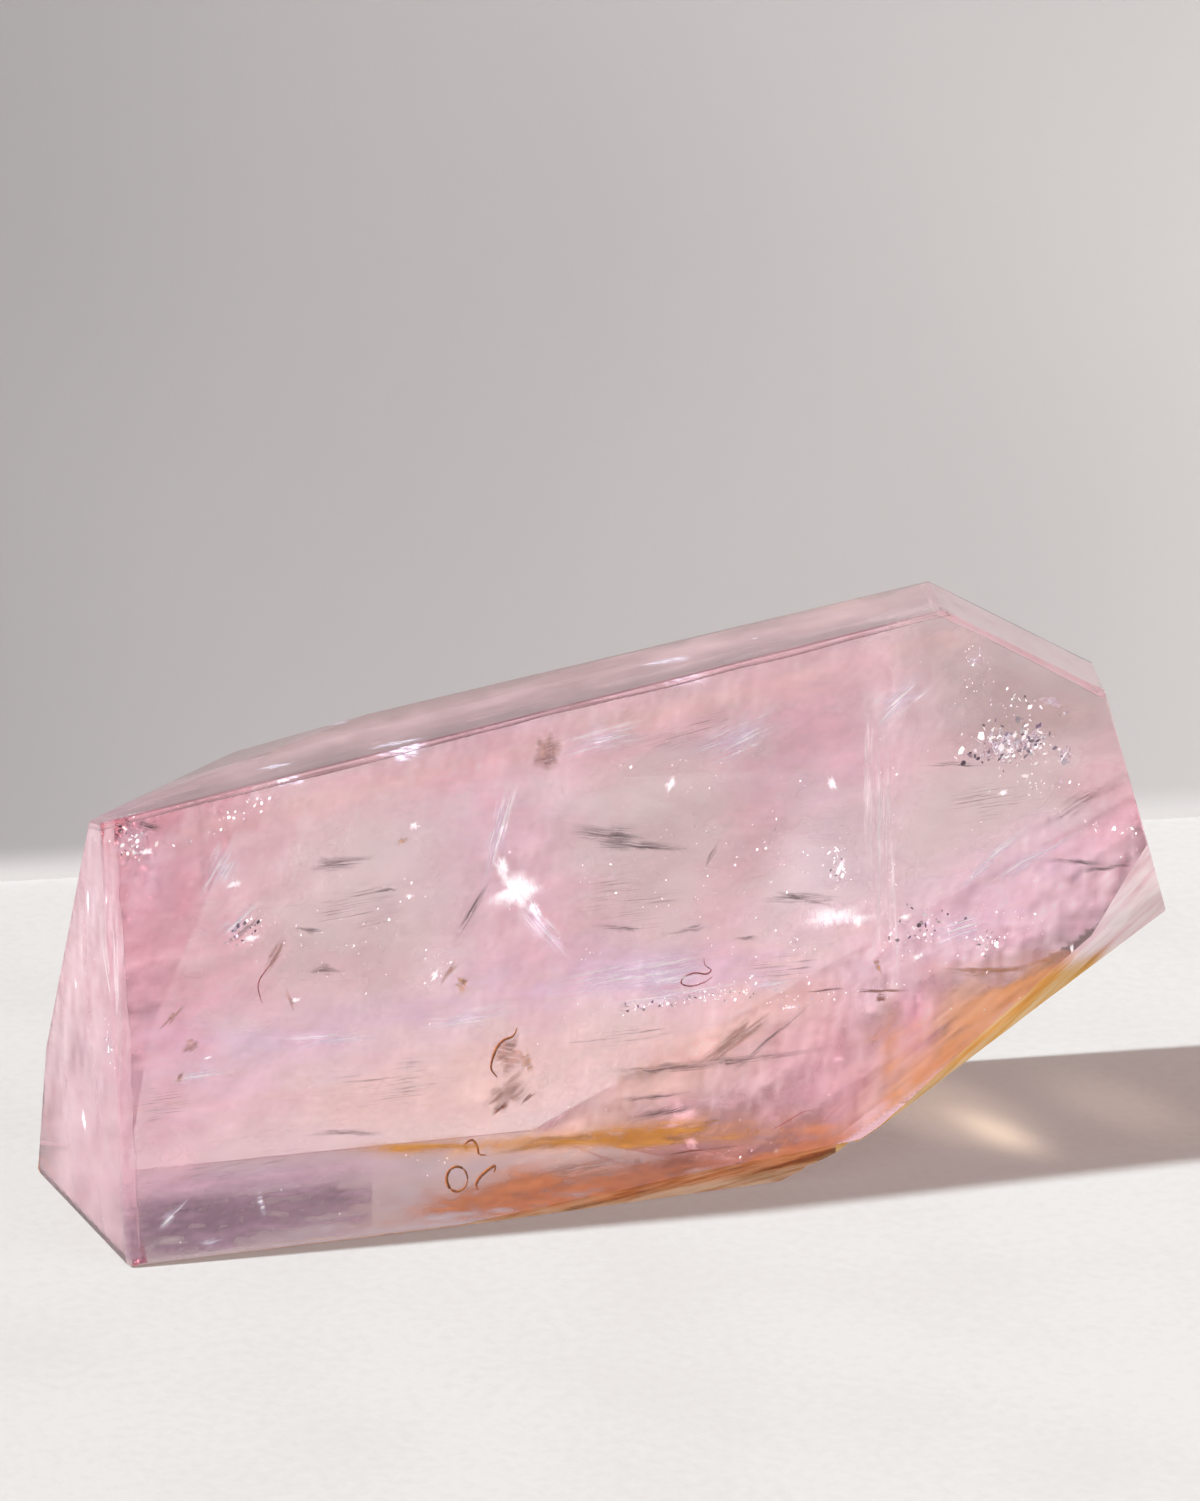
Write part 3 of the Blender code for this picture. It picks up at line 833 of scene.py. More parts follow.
def haze_at(px, py, kinds, share, seed):
    """Colour and cover of all the kinds of haze together at a pixel."""
    colour = Vector((0.0, 0.0, 0.0))
    # Never zero, because the colour is divided by it.
    weight = 1e-6
    clear = 1.0
    for number, (dark, light, streak_mm, roll, contrast, patches) in enumerate(kinds):
        own = seed * HAZE_SEEDS + number
        streak = streaks_at(px, py, streak_mm, roll, own)
        thickness = share * thickness_at(px, py, patches, own)
        cover = thickness * (1 + contrast * STREAK_THICKNESS * streak)
        cover = min(max(cover, 0.0), HAZE_MOST)
        lightness = 0.5 + STREAK_LIGHTNESS * streak
        tint = Vector(linear(dark)[:3]).lerp(Vector(linear(light)[:3]), lightness)
        colour += tint * cover
        weight += cover
        clear *= 1 - cover
    return colour / weight, 1 - clear


def haze_sheet(facet, area, depth, step, kinds, share, seed):
    """A sheet of haze behind a facet, all the way to the stone's skin, gently waved."""
    bm = bmesh.new()
    tint = bm.verts.layers.float_color.new("tint")
    cover = bm.verts.layers.float.new("cover")
    heading, rise, _ = FACETS[facet]
    normal = outward(heading, rise)
    left, right, top, bottom = area
    made = {}
    across, down = step
    for px in range(left, right + 1, across):
        for py in range(top, bottom + 1, down):
            place, _ = seen_through(facet, px, py, depth)
            spot = Vector((px / WAVE_LENGTHS[0], py / WAVE_LENGTHS[1], seed * WAVE_SHIFT))
            wave = noise.fractal(spot, *WAVE_NOISE)
            place -= normal * min(depth * WAVE_SHARE, WAVE_MOST) * wave * MM
            nearest, out, _, _ = STONE_SURFACE.find_nearest(place)
            inside = (nearest - place).dot(out) / MM
            colour, thickness = haze_at(px, py, kinds, share, seed) if inside > 0 else (Vector(), 0.0)
            vert = bm.verts.new(place)
            vert[tint] = [*(max(value, 0.0) for value in colour), 1.0]
            vert[cover] = thickness * min(max(inside / HAZE_FADE, 0.0), 1.0)
            made[px, py] = vert
    for px, py in made:
        corners = [(px, py), (px + across, py), (px + across, py + down), (px, py + down)]
        around = [made[corner] for corner in corners if corner in made]
        if len(around) == 4 and max(vert[cover] for vert in around) > HAZE_LEAST:
            bm.faces.new(around)
    bmesh.ops.delete(bm, geom=[vert for vert in bm.verts if not vert.link_faces], context="VERTS")
    return bm


def sheets_bmesh():
    """An empty mesh for sheets. Its points keep their place on their sheet, and how far out they are."""
    bm = bmesh.new()
    bm.verts.layers.float_vector.new("sheet")
    bm.verts.layers.float.new("rim")
    return bm


def add_sheets(bm, facet, table, form, seed):
    """Adds every sheet of a table. Leaning or turning one doesn't make it look smaller."""
    for number, entry in enumerate(table.values(), start=seed):
        length, height, lean, turn = entry[3], entry[4], entry[6], entry[7]
        tall = height / math.cos(math.radians(lean))
        wide = length / math.cos(math.radians(turn))
        add_sheet(bm, sheet_axes(facet, entry), (wide, tall), form, number)


def add_thread(bm, points, thickness, sides=8):
    """A tube through the points, thinner at its ends."""
    last = len(points) - 1
    rings = []
    for number, point in enumerate(points):
        ahead = (points[min(number + 1, last)] - points[max(number - 1, 0)]).normalized()
        side = ahead.orthogonal().normalized()
        over = ahead.cross(side)
        middle = math.sin(math.pi * (number + 0.5) / (last + 1))
        reach = thickness / 2 * (THREAD_END + (1 - THREAD_END) * middle)
        angles = [2 * math.pi * i / sides for i in range(sides)]
        rings.append(
            [bm.verts.new(point + (side * math.cos(a) + over * math.sin(a)) * reach) for a in angles]
        )
    for ring, after in zip(rings, rings[1:]):
        for i in range(sides):
            j = (i + 1) % sides
            bm.faces.new((ring[i], ring[j], after[j], after[i]))
    bm.faces.new(rings[0][::-1])
    bm.faces.new(rings[-1])


def smooth_path(points, steps=6):
    """A rounded path through the points: a Catmull-Rom spline, with so many steps between two."""
    ends = [points[0], *points, points[-1]]
    path = []
    for a, b, c, d in zip(ends, ends[1:], ends[2:], ends[3:]):
        for step in range(steps):
            t = step / steps
            path.append(
                0.5 * (2 * b + (c - a) * t + (2 * a - 5 * b + 4 * c - d) * t**2
                       + (3 * b - a - 3 * c + d) * t**3)
            )
    return [*path, points[-1]]


def add_threads(bm, table):
    """Adds every thread of a table."""
    for pixels, depth, thickness in table.values():
        points = [seen_through("front", *pixel, depth)[0] for pixel in pixels]
        add_thread(bm, smooth_path(points), thickness * MM)


def add_ring(bm, entry):
    """Adds a thread that closes into a ring."""
    px, py, depth, wide, tall, thickness, corners = entry
    angles = [2 * math.pi * i / corners for i in range(corners)]
    ring = [(px + wide * math.cos(a), py + tall * math.sin(a)) for a in angles]
    points = [seen_through("front", x, y, depth)[0] for x, y in [*ring, ring[0]]]
    add_thread(bm, points, thickness * MM)


def add_spark(bm, place, size, draw, shine):
    """One spark: a small flake of a crack, turned its own way. shine: how bright its painted glint is."""
    axis = Vector((draw.uniform(-1, 1), draw.uniform(-1, 1), draw.uniform(-1, 1))).normalized()
    side = axis.orthogonal().normalized()
    over = axis.cross(side)
    corners = draw.randint(*SPARK_CORNERS)
    flat = draw.uniform(*SPARK_WIDTHS)
    start = draw.uniform(0, math.pi)
    layer = bm.verts.layers.float["shine"]
    rim = []
    for number in range(corners):
        angle = start + 2 * math.pi * number / corners
        reach = size / 2 * draw.uniform(*SPARK_REACHES)
        vert = bm.verts.new(place + (side * math.cos(angle) + over * math.sin(angle) * flat) * reach)
        vert[layer] = shine
        rim.append(vert)
    bm.faces.new(rim)


def add_swarm(bm, entry, least, share, draw):
    """Adds a swarm of sparks, of which none is smaller than the least size in mm."""
    px, py, depth, length, height, roll, count, largest = entry
    place, along, upward, facing = sheet_axes("front", (px, py, depth, length, height, roll, 0, 0))
    for _ in range(round(count * share)):
        x = draw.gauss(0, SWARM_SPREAD[0]) * length
        y = draw.gauss(0, SWARM_SPREAD[1]) * height
        z = draw.gauss(0, SWARM_SPREAD[2]) * min(depth, SWARM_DEPTH)
        size = largest * draw.random() ** SWARM_RARITY + least
        spot = place + (along * x + upward * y + facing * z) * MM
        add_spark(bm, spot, size * MM, draw, draw.random())


def node(tree, kind, inputs=None, **settings):
    """Adds a node with its settings; inputs gives each socket a value or the output that feeds it."""
    new = tree.nodes.new(kind)
    for name, value in settings.items():
        setattr(new, name, value)
    for socket, value in (inputs or {}).items():
        if isinstance(value, bpy.types.NodeSocket):
            tree.links.new(value, new.inputs[socket])
        else:
            new.inputs[socket].default_value = value
    return new


def new_material(name):
    """A material with no nodes yet, and its node tree."""
    material = bpy.data.materials.new(name)
    material.use_nodes = True
    material.node_tree.nodes.clear()
    return material, material.node_tree


def colour_ramp(tree, value, stops):
    """The output of a ramp of colours. stops: the place and sRGB hex colour of each one."""
    ramp = node(tree, "ShaderNodeValToRGB", {"Fac": value})
    for number, (place, colour) in enumerate(stops):
        elements = ramp.color_ramp.elements
        stop = elements[number] if number < 2 else elements.new(place)
        stop.position = place
        stop.color = linear(colour)
    return ramp.outputs["Color"]


def absorption(hex_colour, length):
    """Colour and density of an absorption that leaves white light this colour after the length."""
    lost = [-math.log(value) / length for value in linear(hex_colour)[:3]]
    density = max(lost)
    return [1 - value / density for value in lost] + [1.0], density


def quartz_output(tree, surface, settings):
    """Ends a quartz material: lamps shine through its skin. Returns its output node."""
    rays = node(tree, "ShaderNodeLightPath")
    side = node(tree, "ShaderNodeNewGeometry")
    let_through = node(
        tree,
        "ShaderNodeMix",
        {"Factor": side.outputs["Backfacing"], 6: linear(settings.shadow_hex), 7: linear("#FFFFFF")},
        data_type="RGBA",
    )
    clear = node(tree, "ShaderNodeBsdfTransparent", {"Color": let_through.outputs[2]})
    mixed = node(
        tree,
        "ShaderNodeMixShader",
        {0: rays.outputs["Is Shadow Ray"], 1: surface, 2: clear.outputs[0]},
    )
    return node(tree, "ShaderNodeOutputMaterial", {"Surface": mixed.outputs[0]})


def polished_quartz(settings):
    """Rose quartz, lapped and polished. Clear as glass, so the eye sees its pink and what is in it.
    The pink fills this material alone: light that left by another would keep it on its way out."""
    material, tree = new_material("Rose quartz, polished")
    surface = node(
        tree,
        "ShaderNodeBsdfPrincipled",
        {
            "Base Color": linear("#FFFFFF"),
            "Roughness": settings.polish_roughness,
            "IOR": QUARTZ_IOR,
            "Transmission Weight": 1.0,
        },
    )
    output = quartz_output(tree, surface.outputs[0], settings)
    colour, density = absorption(settings.pink_hex, settings.pink_length)
    pink = node(tree, "ShaderNodeVolumeAbsorption", {"Color": colour, "Density": density})
    tree.links.new(pink.outputs[0], output.inputs["Volume"])
    return material


def broken_quartz(name, settings, stops, stained, roughness, clear, glow, streak_mm, streak_turn):
    """Quartz as it broke, which looks frosted, with fine ledges and streaks along the break. clear:
    how much of the light goes through. stained: the heights in mm where iron starts and is whole,
    going down, and its colours, or None. Its emission is painted light, for the light that comes
    out through the frosted break. streak_mm, streak_turn: length, width and turn of the
    streaks."""
    material, tree = new_material(name)
    place = node(tree, "ShaderNodeTexCoord").outputs["Object"]
    length, width = streak_mm
    along = node(
        tree,
        "ShaderNodeMapping",
        {"Vector": place, "Rotation": (0.0, math.radians(streak_turn), 0.0)},
        vector_type="TEXTURE",
    )
    scaled = node(
        tree,
        "ShaderNodeMapping",
        {"Vector": along.outputs[0], "Scale": [1 / (value * MM) for value in (length, width, width)]},
    )
    streaks = node(
        tree,
        "ShaderNodeTexNoise",
        {"Vector": scaled.outputs[0], "Detail": 6.0, "Roughness": 0.6, "Scale": 1.0},
    )
    colour = colour_ramp(tree, streaks.outputs["Fac"], stops)
    if stained:
        starts, whole, iron_stops = stained
        # Streaks shift the edge of the stain up and down by as much as it takes to become whole. The
        # map allows for their mean value, a half.
        height = node(tree, "ShaderNodeSeparateXYZ", {0: place}).outputs["Z"]
        uneven = node(
            tree,
            "ShaderNodeMath",
            {0: streaks.outputs["Fac"], 1: 2.0 * (starts - whole) * MM, 2: height},
            operation="MULTIPLY_ADD",
        )
        iron = node(
            tree,
            "ShaderNodeMapRange",
            {
                "Value": uneven.outputs[0],
                "From Min": (2 * starts - whole) * MM,
                "From Max": starts * MM,
            },
            interpolation_type="SMOOTHSTEP",
        )
        iron_colour = colour_ramp(tree, streaks.outputs["Fac"], iron_stops)
        colour = node(
            tree,
            "ShaderNodeMix",
            {0: iron.outputs[0], 6: colour, 7: iron_colour},
            data_type="RGBA",
        ).outputs[2]
    bump = node(
        tree,
        "ShaderNodeBump",
        {
            "Height": streaks.outputs["Fac"],
            "Strength": LEDGE_STRENGTH,
            "Distance": LEDGE_HEIGHT * MM,
        },
    )
    surface = node(
        tree,
        "ShaderNodeBsdfPrincipled",
        {
            "Base Color": colour,
            "Roughness": roughness,
            "IOR": QUARTZ_IOR,
            "Transmission Weight": clear,
            "Normal": bump.outputs[0],
            "Emission Color": colour,
            "Emission Strength": glow,
        },
    )
    quartz_output(tree, surface.outputs[0], settings)
    return material


def inner_sheet(name, stops, cover, streak_mm, shown_from, rim_from, roughness, glow=0.0, metallic=0.0):
    """A crack in the quartz, or what has grown in one. The eye sees streaks that thin out towards a
    ragged rim. cover: its greatest cover. streak_mm: length and width of its streaks. shown_from:
    the streaks' values where it starts to show and is whole. rim_from: how far out, as a share, it
    starts to fade. Its emission is painted light, which makes it brighter than the lamps light it."""
    material, tree = new_material(name)
    sheet = node(tree, "ShaderNodeAttribute", attribute_name="sheet")
    rim = node(tree, "ShaderNodeAttribute", attribute_name="rim")
    length, width = streak_mm
    scaled = node(
        tree,
        "ShaderNodeMapping",
        {"Vector": sheet.outputs["Vector"], "Scale": (1 / length, 1 / width, 1)},
    )
    streaks = node(
        tree,
        "ShaderNodeTexNoise",
        {"Vector": scaled.outputs[0], "Scale": 1.0, "Detail": 4.0, "Roughness": 0.62},
    )
    start, whole = shown_from
    shown = node(
        tree,
        "ShaderNodeMapRange",
        {"Value": streaks.outputs["Fac"], "From Min": start, "From Max": whole, "To Max": cover},
    )
    fade = node(
        tree,
        "ShaderNodeMapRange",
        {"Value": rim.outputs["Fac"], "From Min": 1.0, "From Max": rim_from},
        interpolation_type="SMOOTHSTEP",
    )
    alpha = node(
        tree, "ShaderNodeMath", {0: shown.outputs[0], 1: fade.outputs[0]}, operation="MULTIPLY"
    )
    colour = colour_ramp(tree, streaks.outputs["Fac"], stops)
    surface = node(
        tree,
        "ShaderNodeBsdfPrincipled",
        {
            "Base Color": colour,
            "Roughness": roughness,
            "Metallic": metallic,
            "Alpha": alpha.outputs[0],
            "Emission Color": colour,
            "Emission Strength": glow,
        },
    )
    node(tree, "ShaderNodeOutputMaterial", {"Surface": surface.outputs[0]})
    return material


def haze_material(name, glow):
    """Haze of fine fibres in the quartz. It sends light back and lets light through, and glows a
    little by painted light: emission that stands in for the light that bounces about in it."""
    material, tree = new_material(name)
    tint = node(tree, "ShaderNodeAttribute", attribute_name="tint").outputs["Color"]
    cover = node(tree, "ShaderNodeAttribute", attribute_name="cover").outputs["Fac"]
    sent_back = node(tree, "ShaderNodeBsdfDiffuse", {"Color": tint})
    let_through = node(tree, "ShaderNodeBsdfTranslucent", {"Color": tint})
    lit = node(
        tree, "ShaderNodeMixShader", {0: 0.5, 1: sent_back.outputs[0], 2: let_through.outputs[0]}
    )
    painted_glow_shader = node(tree, "ShaderNodeEmission", {"Color": tint, "Strength": glow})
    summed = node(tree, "ShaderNodeAddShader", {0: lit.outputs[0], 1: painted_glow_shader.outputs[0]})
    clear = node(tree, "ShaderNodeBsdfTransparent")
    mixed = node(tree, "ShaderNodeMixShader", {0: cover, 1: clear.outputs[0], 2: summed.outputs[0]})
    node(tree, "ShaderNodeOutputMaterial", {"Surface": mixed.outputs[0]})
    return material


def thread_material(name, stops):
    """Iron oxide in a fine tube, grown in the quartz. It is matt and earthy, with uneven patches."""
    material, tree = new_material(name)
    place = node(tree, "ShaderNodeTexCoord").outputs["Object"]
    grain = node(
        tree,
        "ShaderNodeTexNoise",
        {"Vector": place, "Scale": 1 / (THREAD_GRAIN * MM), "Detail": 3.0},
    )
    tint = colour_ramp(tree, grain.outputs["Fac"], stops)
    surface = node(tree, "ShaderNodeBsdfPrincipled", {"Base Color": tint, "Roughness": 0.6})
    node(tree, "ShaderNodeOutputMaterial", {"Surface": surface.outputs[0]})
    return material


def spark_material(name, dull, bright, glow):
    """Flakes of fractures with painted glints: each is lighter and glows in its own random measure, so a
    swarm of them glitters.
    """
    material, tree = new_material(name)
    shine = node(tree, "ShaderNodeAttribute", attribute_name="shine").outputs["Fac"]
    tint = colour_ramp(tree, shine, ((0.25, dull), (0.6, bright)))
    strength = node(tree, "ShaderNodeMath", {0: shine, 1: glow}, operation="MULTIPLY")
    surface = node(
        tree,
        "ShaderNodeBsdfPrincipled",
        {
            "Base Color": tint,
            "Metallic": 0.3,
            "Roughness": 0.2,
            "Emission Color": tint,
            "Emission Strength": strength.outputs[0],
        },
    )
    node(tree, "ShaderNodeOutputMaterial", {"Surface": surface.outputs[0]})
    return material


class StoneSettings(bpy.types.PropertyGroup):
    pink_hex: bpy.props.StringProperty(
        name="Pink",
        description="Colour that white light has left after the length below inside the stone",
        default="#FBD0D8",
    )
    pink_length: bpy.props.FloatProperty(
        name="Length for the pink",
        description="Way of the light through the stone that gives the pink",
        default=60 * MM,
        unit="LENGTH",
    )
    shadow_hex: bpy.props.StringProperty(
        name="Light in the shadow",
        description="Share of the key light that the stone lets down to the floor, as a colour",
        default="#6C3A24",
    )
    polish_roughness: bpy.props.FloatProperty(
        name="Roughness of the polish",
        description="Least roughness of the lapped facets",
        default=0.0,
        subtype="FACTOR",
    )


class InnerSettings(bpy.types.PropertyGroup):
    spark_share: bpy.props.FloatProperty(
        name="Sparks",
        description="Share of the sparks that are made",
        default=1.0,
        subtype="FACTOR",
    )


class StageSettings(bpy.types.PropertyGroup):
    sun_elevation: bpy.props.FloatProperty(
        name="Height of the key light",
        description="Angle of the key light above the level",
        default=math.radians(35),
        subtype="ANGLE",
    )
    sun_turn: bpy.props.FloatProperty(
        name="Turn of the key light",
        description="Angle by which the key light comes from behind the stone's left end",
        default=math.radians(6.5),
        subtype="ANGLE",
    )
    sun_strength: bpy.props.FloatProperty(
        name="Strength of the key light",
        description="Light on a surface that faces the key light, in watts a square metre",
        default=4.65,
    )
    wall_behind: bpy.props.FloatProperty(
        name="Backdrop behind the stone",
        description="Distance from the foot of the stone to the foot of the backdrop",
        default=98 * MM,
        unit="LENGTH",
    )


class QuartzSettings(bpy.types.PropertyGroup):
    stone: bpy.props.PointerProperty(type=StoneSettings, name="Stone", description="The stone itself")
    inner: bpy.props.PointerProperty(type=InnerSettings, name="Inside", description="What is inside")
    stage: bpy.props.PointerProperty(type=StageSettings, name="Stage", description="Floor and light")


def broken_face_of(face):
    """Number of the natural broken face that this face of the mesh is on, or 0 for a polished one."""
    middle = face.calc_center_median()
    for number, (heading, rise, corner) in enumerate(BROKEN_FACES.values(), start=1):
        normal = outward(heading, rise)
        off = (middle - FOOT - Vector(corner) * MM).dot(normal)
        polished = any(face.normal.dot(outward(h, r)) > SAME_WAY for h, r, _ in FACETS.values())
        near = abs(off) < BROKEN_REACH * MM
        if near and not polished and face.normal.angle(normal) < math.radians(BROKEN_TURN):
            return number
    return 0


class QUARTZ_OT_stone(bpy.types.Operator):
    """Makes the stone's skin: polished facets, and natural breaks with their fine ledges"""

    bl_idname = "quartz.stone"
    bl_label = "Stone"

    def execute(self, context):
        settings = context.scene.rose_quartz.stone
        bm = stone_bmesh()
        bm.faces.ensure_lookup_table()
        for face in bm.faces:
            face.material_index = BREAK_MATERIALS[broken_face_of(face)]
            face.smooth = False
        broken = [face for face in bm.faces if face.material_index]
        if not broken:
            raise RuntimeError("No natural broken face was found on the stone")
        mesh = bpy.data.meshes.new("stone")
        bm.to_mesh(mesh)
        bm.free()
        mesh.materials.append(polished_quartz(settings))
        tip = broken_quartz(
            "Rose quartz, natural break, iron-stained gold towards the foot",
            settings,
            stops=((0.35, "#E9C0C5"), (0.6, "#FAE8E8")),
            stained=(19.5, 17.0, ((0.3, "#C07618"), (0.5, "#E2A64C"), (0.7, "#EFD0A4"))),
            roughness=0.2,
            clear=0.4,
            glow=0.2,
            streak_mm=(12.0, 1.0),
            streak_turn=-37,
        )
        keel = broken_quartz(
            "Rose quartz, natural break, iron-stained brown",
            settings,
            stops=((0.36, "#80441C"), (0.46, "#C4804A"), (0.6, "#E6B48C")),
            stained=None,
            roughness=0.2,
            clear=0.55,
            glow=0.16,
            streak_mm=(9.0, 0.8),
            streak_turn=-8,
        )
        for material in (tip, keel):
            mesh.materials.append(material)
        stone = bpy.data.objects.new("stone", mesh)
        context.scene.collection.objects.link(stone)
        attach(stone, "root")
        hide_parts(NODE)
        # Scattered light goes in and out as if the skin weren't there, which spares long paths.
        stone.visible_diffuse = False
        return {"FINISHED"}


class QUARTZ_OT_bright_fractures(bpy.types.Operator):
    """Adds the fractures that flash white with painted glints, and the crumpled ones that glitter"""

    bl_idname = "quartz.bright_fractures"
    bl_label = "Bright fractures"

    def execute(self, context):
        bm = sheets_bmesh()
        add_sheets(bm, "front", BRIGHT_FRACTURES, FLAT_FORM, BRIGHT_SEED)
        add_sheets(bm, "left end", LEFT_END_FRACTURES, FLAT_FORM, LEFT_END_SEED)
        inner_piece(
            "bright_fractures",
            bm,
            inner_sheet(
                "Air-filled fracture, painted bright glint",
                stops=((0.35, "#F0DDEE"), (0.55, "#FFFFFF")),
                cover=1.0,
                streak_mm=(0.3, 1.6),
                shown_from=(0.26, 0.48),
                glow=1.0,
                roughness=0.3,
                rim_from=0.1,
            ),
        )
        bm = sheets_bmesh()
        add_sheets(bm, "top", TOP_FRACTURES, FLAT_FORM, TOP_SEED)
        inner_piece(
            "top_fractures",
            bm,
            inner_sheet(
                "Air-filled fracture just under the top, silvery",
                stops=((0.4, "#C9BCDA"), (0.6, "#F4F0FF")),
                cover=0.85,
                streak_mm=(1.4, 0.4),
                shown_from=(0.34, 0.52),
                glow=0.35,
                roughness=0.3,
                rim_from=0.5,
            ),
        )
        bm = sheets_bmesh()
        add_sheets(bm, "front", CRUMPLED_FRACTURES, CRUMPLED_FORM, CRUMPLED_SEED)
        inner_piece(
            "crumpled_fractures",
            bm,
            inner_sheet(
                "Air-filled fracture, crumpled and mirror-like",
                stops=((0.3, "#FFFFFF"), (0.7, "#E8DCEC")),
                cover=0.95,
                streak_mm=(0.8, 0.8),
                shown_from=(0.36, 0.48),
                glow=0.12,
                roughness=0.12,
                metallic=1.0,
                rim_from=0.4,
            ),
        )
        return {"FINISHED"}


class QUARTZ_OT_dark_fractures(bpy.types.Operator):
    """Adds the lens-shaped fractures painted dark, for the dark surroundings that they reflect"""

    bl_idname = "quartz.dark_fractures"
    bl_label = "Dark fractures"

    def execute(self, context):
        bm = sheets_bmesh()
        add_sheets(bm, "front", DARK_FRACTURES, FLAT_FORM, DARK_SEED)
        inner_piece(
            "dark_fractures",
            bm,
            inner_sheet(
                "Fracture, dark by painted reflection",
                stops=((0.4, "#A58E9A"), (0.62, "#5C4854")),
                cover=0.85,
                streak_mm=(3.6, 0.2),
                shown_from=(0.38, 0.58),
                roughness=0.4,
                rim_from=0.15,
            ),
        )
        return {"FINISHED"}


class QUARTZ_OT_haze(bpy.types.Operator):
    """Adds the haze: faint clouds of fibres, smoky, rosy, lilac, milky and peach. The smoky clouds are
    painted shade, and the haze at the foot a painted reflection
    """

    bl_idname = "quartz.haze"
    bl_label = "Haze"

    def execute(self, context):
        inner = haze_material("Haze of fine fibres", HAZE_PAINTED_GLOW)
        outer = haze_material("Haze of fine fibres, near the ends", OUTER_HAZE_PAINTED_GLOW)
        for seed, (name, sheet) in enumerate(HAZE_SHEETS.items(), start=1):
            material = inner if sheet[0] == "front" else outer
            haze = inner_piece(name, haze_sheet(*sheet, seed), material)
            haze.visible_glossy = False
        return {"FINISHED"}


class QUARTZ_OT_veils(bpy.types.Operator):
    """Adds the veils: healed fractures full of fluid specks, brushed white and lavender"""

    bl_idname = "quartz.veils"
    bl_label = "Veils"

    def execute(self, context):
        bm = sheets_bmesh()
        add_sheets(bm, "front", BRUSHED_VEILS, VEIL_FORM, BRUSHED_SEED)
        inner_piece(
            "brushed_veils",
            bm,
            inner_sheet(
                "Healed fracture, brushed lavender",
                stops=((0.4, "#D2C4EE"), (0.62, "#FFFFFF")),
                cover=1.0,
                streak_mm=(7.0, 0.3),
                shown_from=(0.36, 0.62),
                glow=0.55,
                roughness=0.5,
                rim_from=0.0,
            ),
        )
        bm = sheets_bmesh()
        add_sheets(bm, "front", UPRIGHT_VEILS, VEIL_FORM, UPRIGHT_SEED)
        inner_piece(
            "upright_veils",
            bm,
            inner_sheet(
                "Healed fracture, upright and pink",
                stops=((0.35, "#F3CEDA"), (0.6, "#FFF8FA")),
                cover=0.9,
                streak_mm=(9.0, 0.5),
                shown_from=(0.36, 0.60),
                glow=0.45,
                roughness=0.6,
                rim_from=0.0,
            ),
        )
        bm = sheets_bmesh()
        add_sheets(bm, "front", FINE_LINES, VEIL_FORM, FINE_LINES_SEED)
        inner_piece(
            "fine_lines",
            bm,
            inner_sheet(
                "Healed fracture, edge-on in fine lines",
                stops=((0.5, "#A27E8A"), (0.7, "#7C5A66")),
                cover=0.6,
                streak_mm=(5.0, 0.16),
                shown_from=(0.53, 0.66),
                roughness=0.6,
                rim_from=0.3,
            ),
        )
        return {"FINISHED"}


class QUARTZ_OT_stains(bpy.types.Operator):
    """Adds the iron stains: peach, golden and brown films in the fractures, and rust threads"""

    bl_idname = "quartz.stains"
    bl_label = "Iron stains"

    def execute(self, context):
        kinds = (
            ("peach_stains", PEACH_STAINS, PEACH_SEED, "Iron oxide film, peach",
             ((0.35, "#C4876F"), (0.6, "#EBC0AC")), 0.8, (3.0, 0.35), (0.30, 0.56), 0.4),
            ("gold_stains", GOLD_STAINS, GOLD_SEED, "Iron oxide film, golden",
             ((0.35, "#C67E12"), (0.65, "#F2BC5E")), 0.8, (4.0, 0.5), (0.34, 0.58), 0.3),
            ("brown_stains", BROWN_STAINS, BROWN_SEED, "Iron oxide film, brown",
             ((0.35, "#4A1E08"), (0.65, "#A85A24")), 0.85, (3.0, 0.3), (0.34, 0.52), 0.4),
        )
        for name, table, seed, title, stops, cover, streak_mm, shown_from, rim_from in kinds:
            bm = sheets_bmesh()
            add_sheets(bm, "front", table, FLAT_FORM, seed)
            material = inner_sheet(
                title,
                stops,
                cover,
                streak_mm,
                shown_from,
                glow=0.06,
                roughness=0.6,
                rim_from=rim_from,
            )
            inner_piece(name, bm, material)
        bm = bmesh.new()
        add_threads(bm, RUST_THREADS)
        add_ring(bm, RUST_RING)
        rust = thread_material("Iron oxide thread, rust", ((0.4, "#A85E10"), (0.6, "#D08A2C")))
        inner_piece("rust_threads", bm, rust)
        bm = bmesh.new()
        add_threads(bm, RED_THREADS)
        red = thread_material("Iron oxide thread, red", ((0.4, "#A0404A"), (0.6, "#C06068")))
        inner_piece("red_threads", bm, red)
        return {"FINISHED"}


class QUARTZ_OT_sparks(bpy.types.Operator):
    """Adds the sparks and the silvery crumples: tiny flakes of fractures that glitter by painted glints"""

    bl_idname = "quartz.sparks"
    bl_label = "Sparks"

    def execute(self, context):
        draw = random.Random(SWARM_SEED)
        share = context.scene.rose_quartz.inner.spark_share
        bm = bmesh.new()
        bm.verts.layers.float.new("shine")
        for entry in SPARKS.values():
            add_swarm(bm, entry, LEAST_SPARK, share, draw)
        white = spark_material("Spark on a fracture, painted white glint", "#E9D8EE", "#FFFFFF", glow=1.6)
        inner_piece("sparks", bm, white)
        bm = bmesh.new()
        bm.verts.layers.float.new("shine")
        for entry in CRUMPLES.values():
            add_swarm(bm, entry, LEAST_FLAKE, share, draw)
        silvery = spark_material("Crumpled fracture, painted silvery glints", "#6E6078", "#FFFFFF", glow=0.9)
        inner_piece("crumples", bm, silvery)
        return {"FINISHED"}


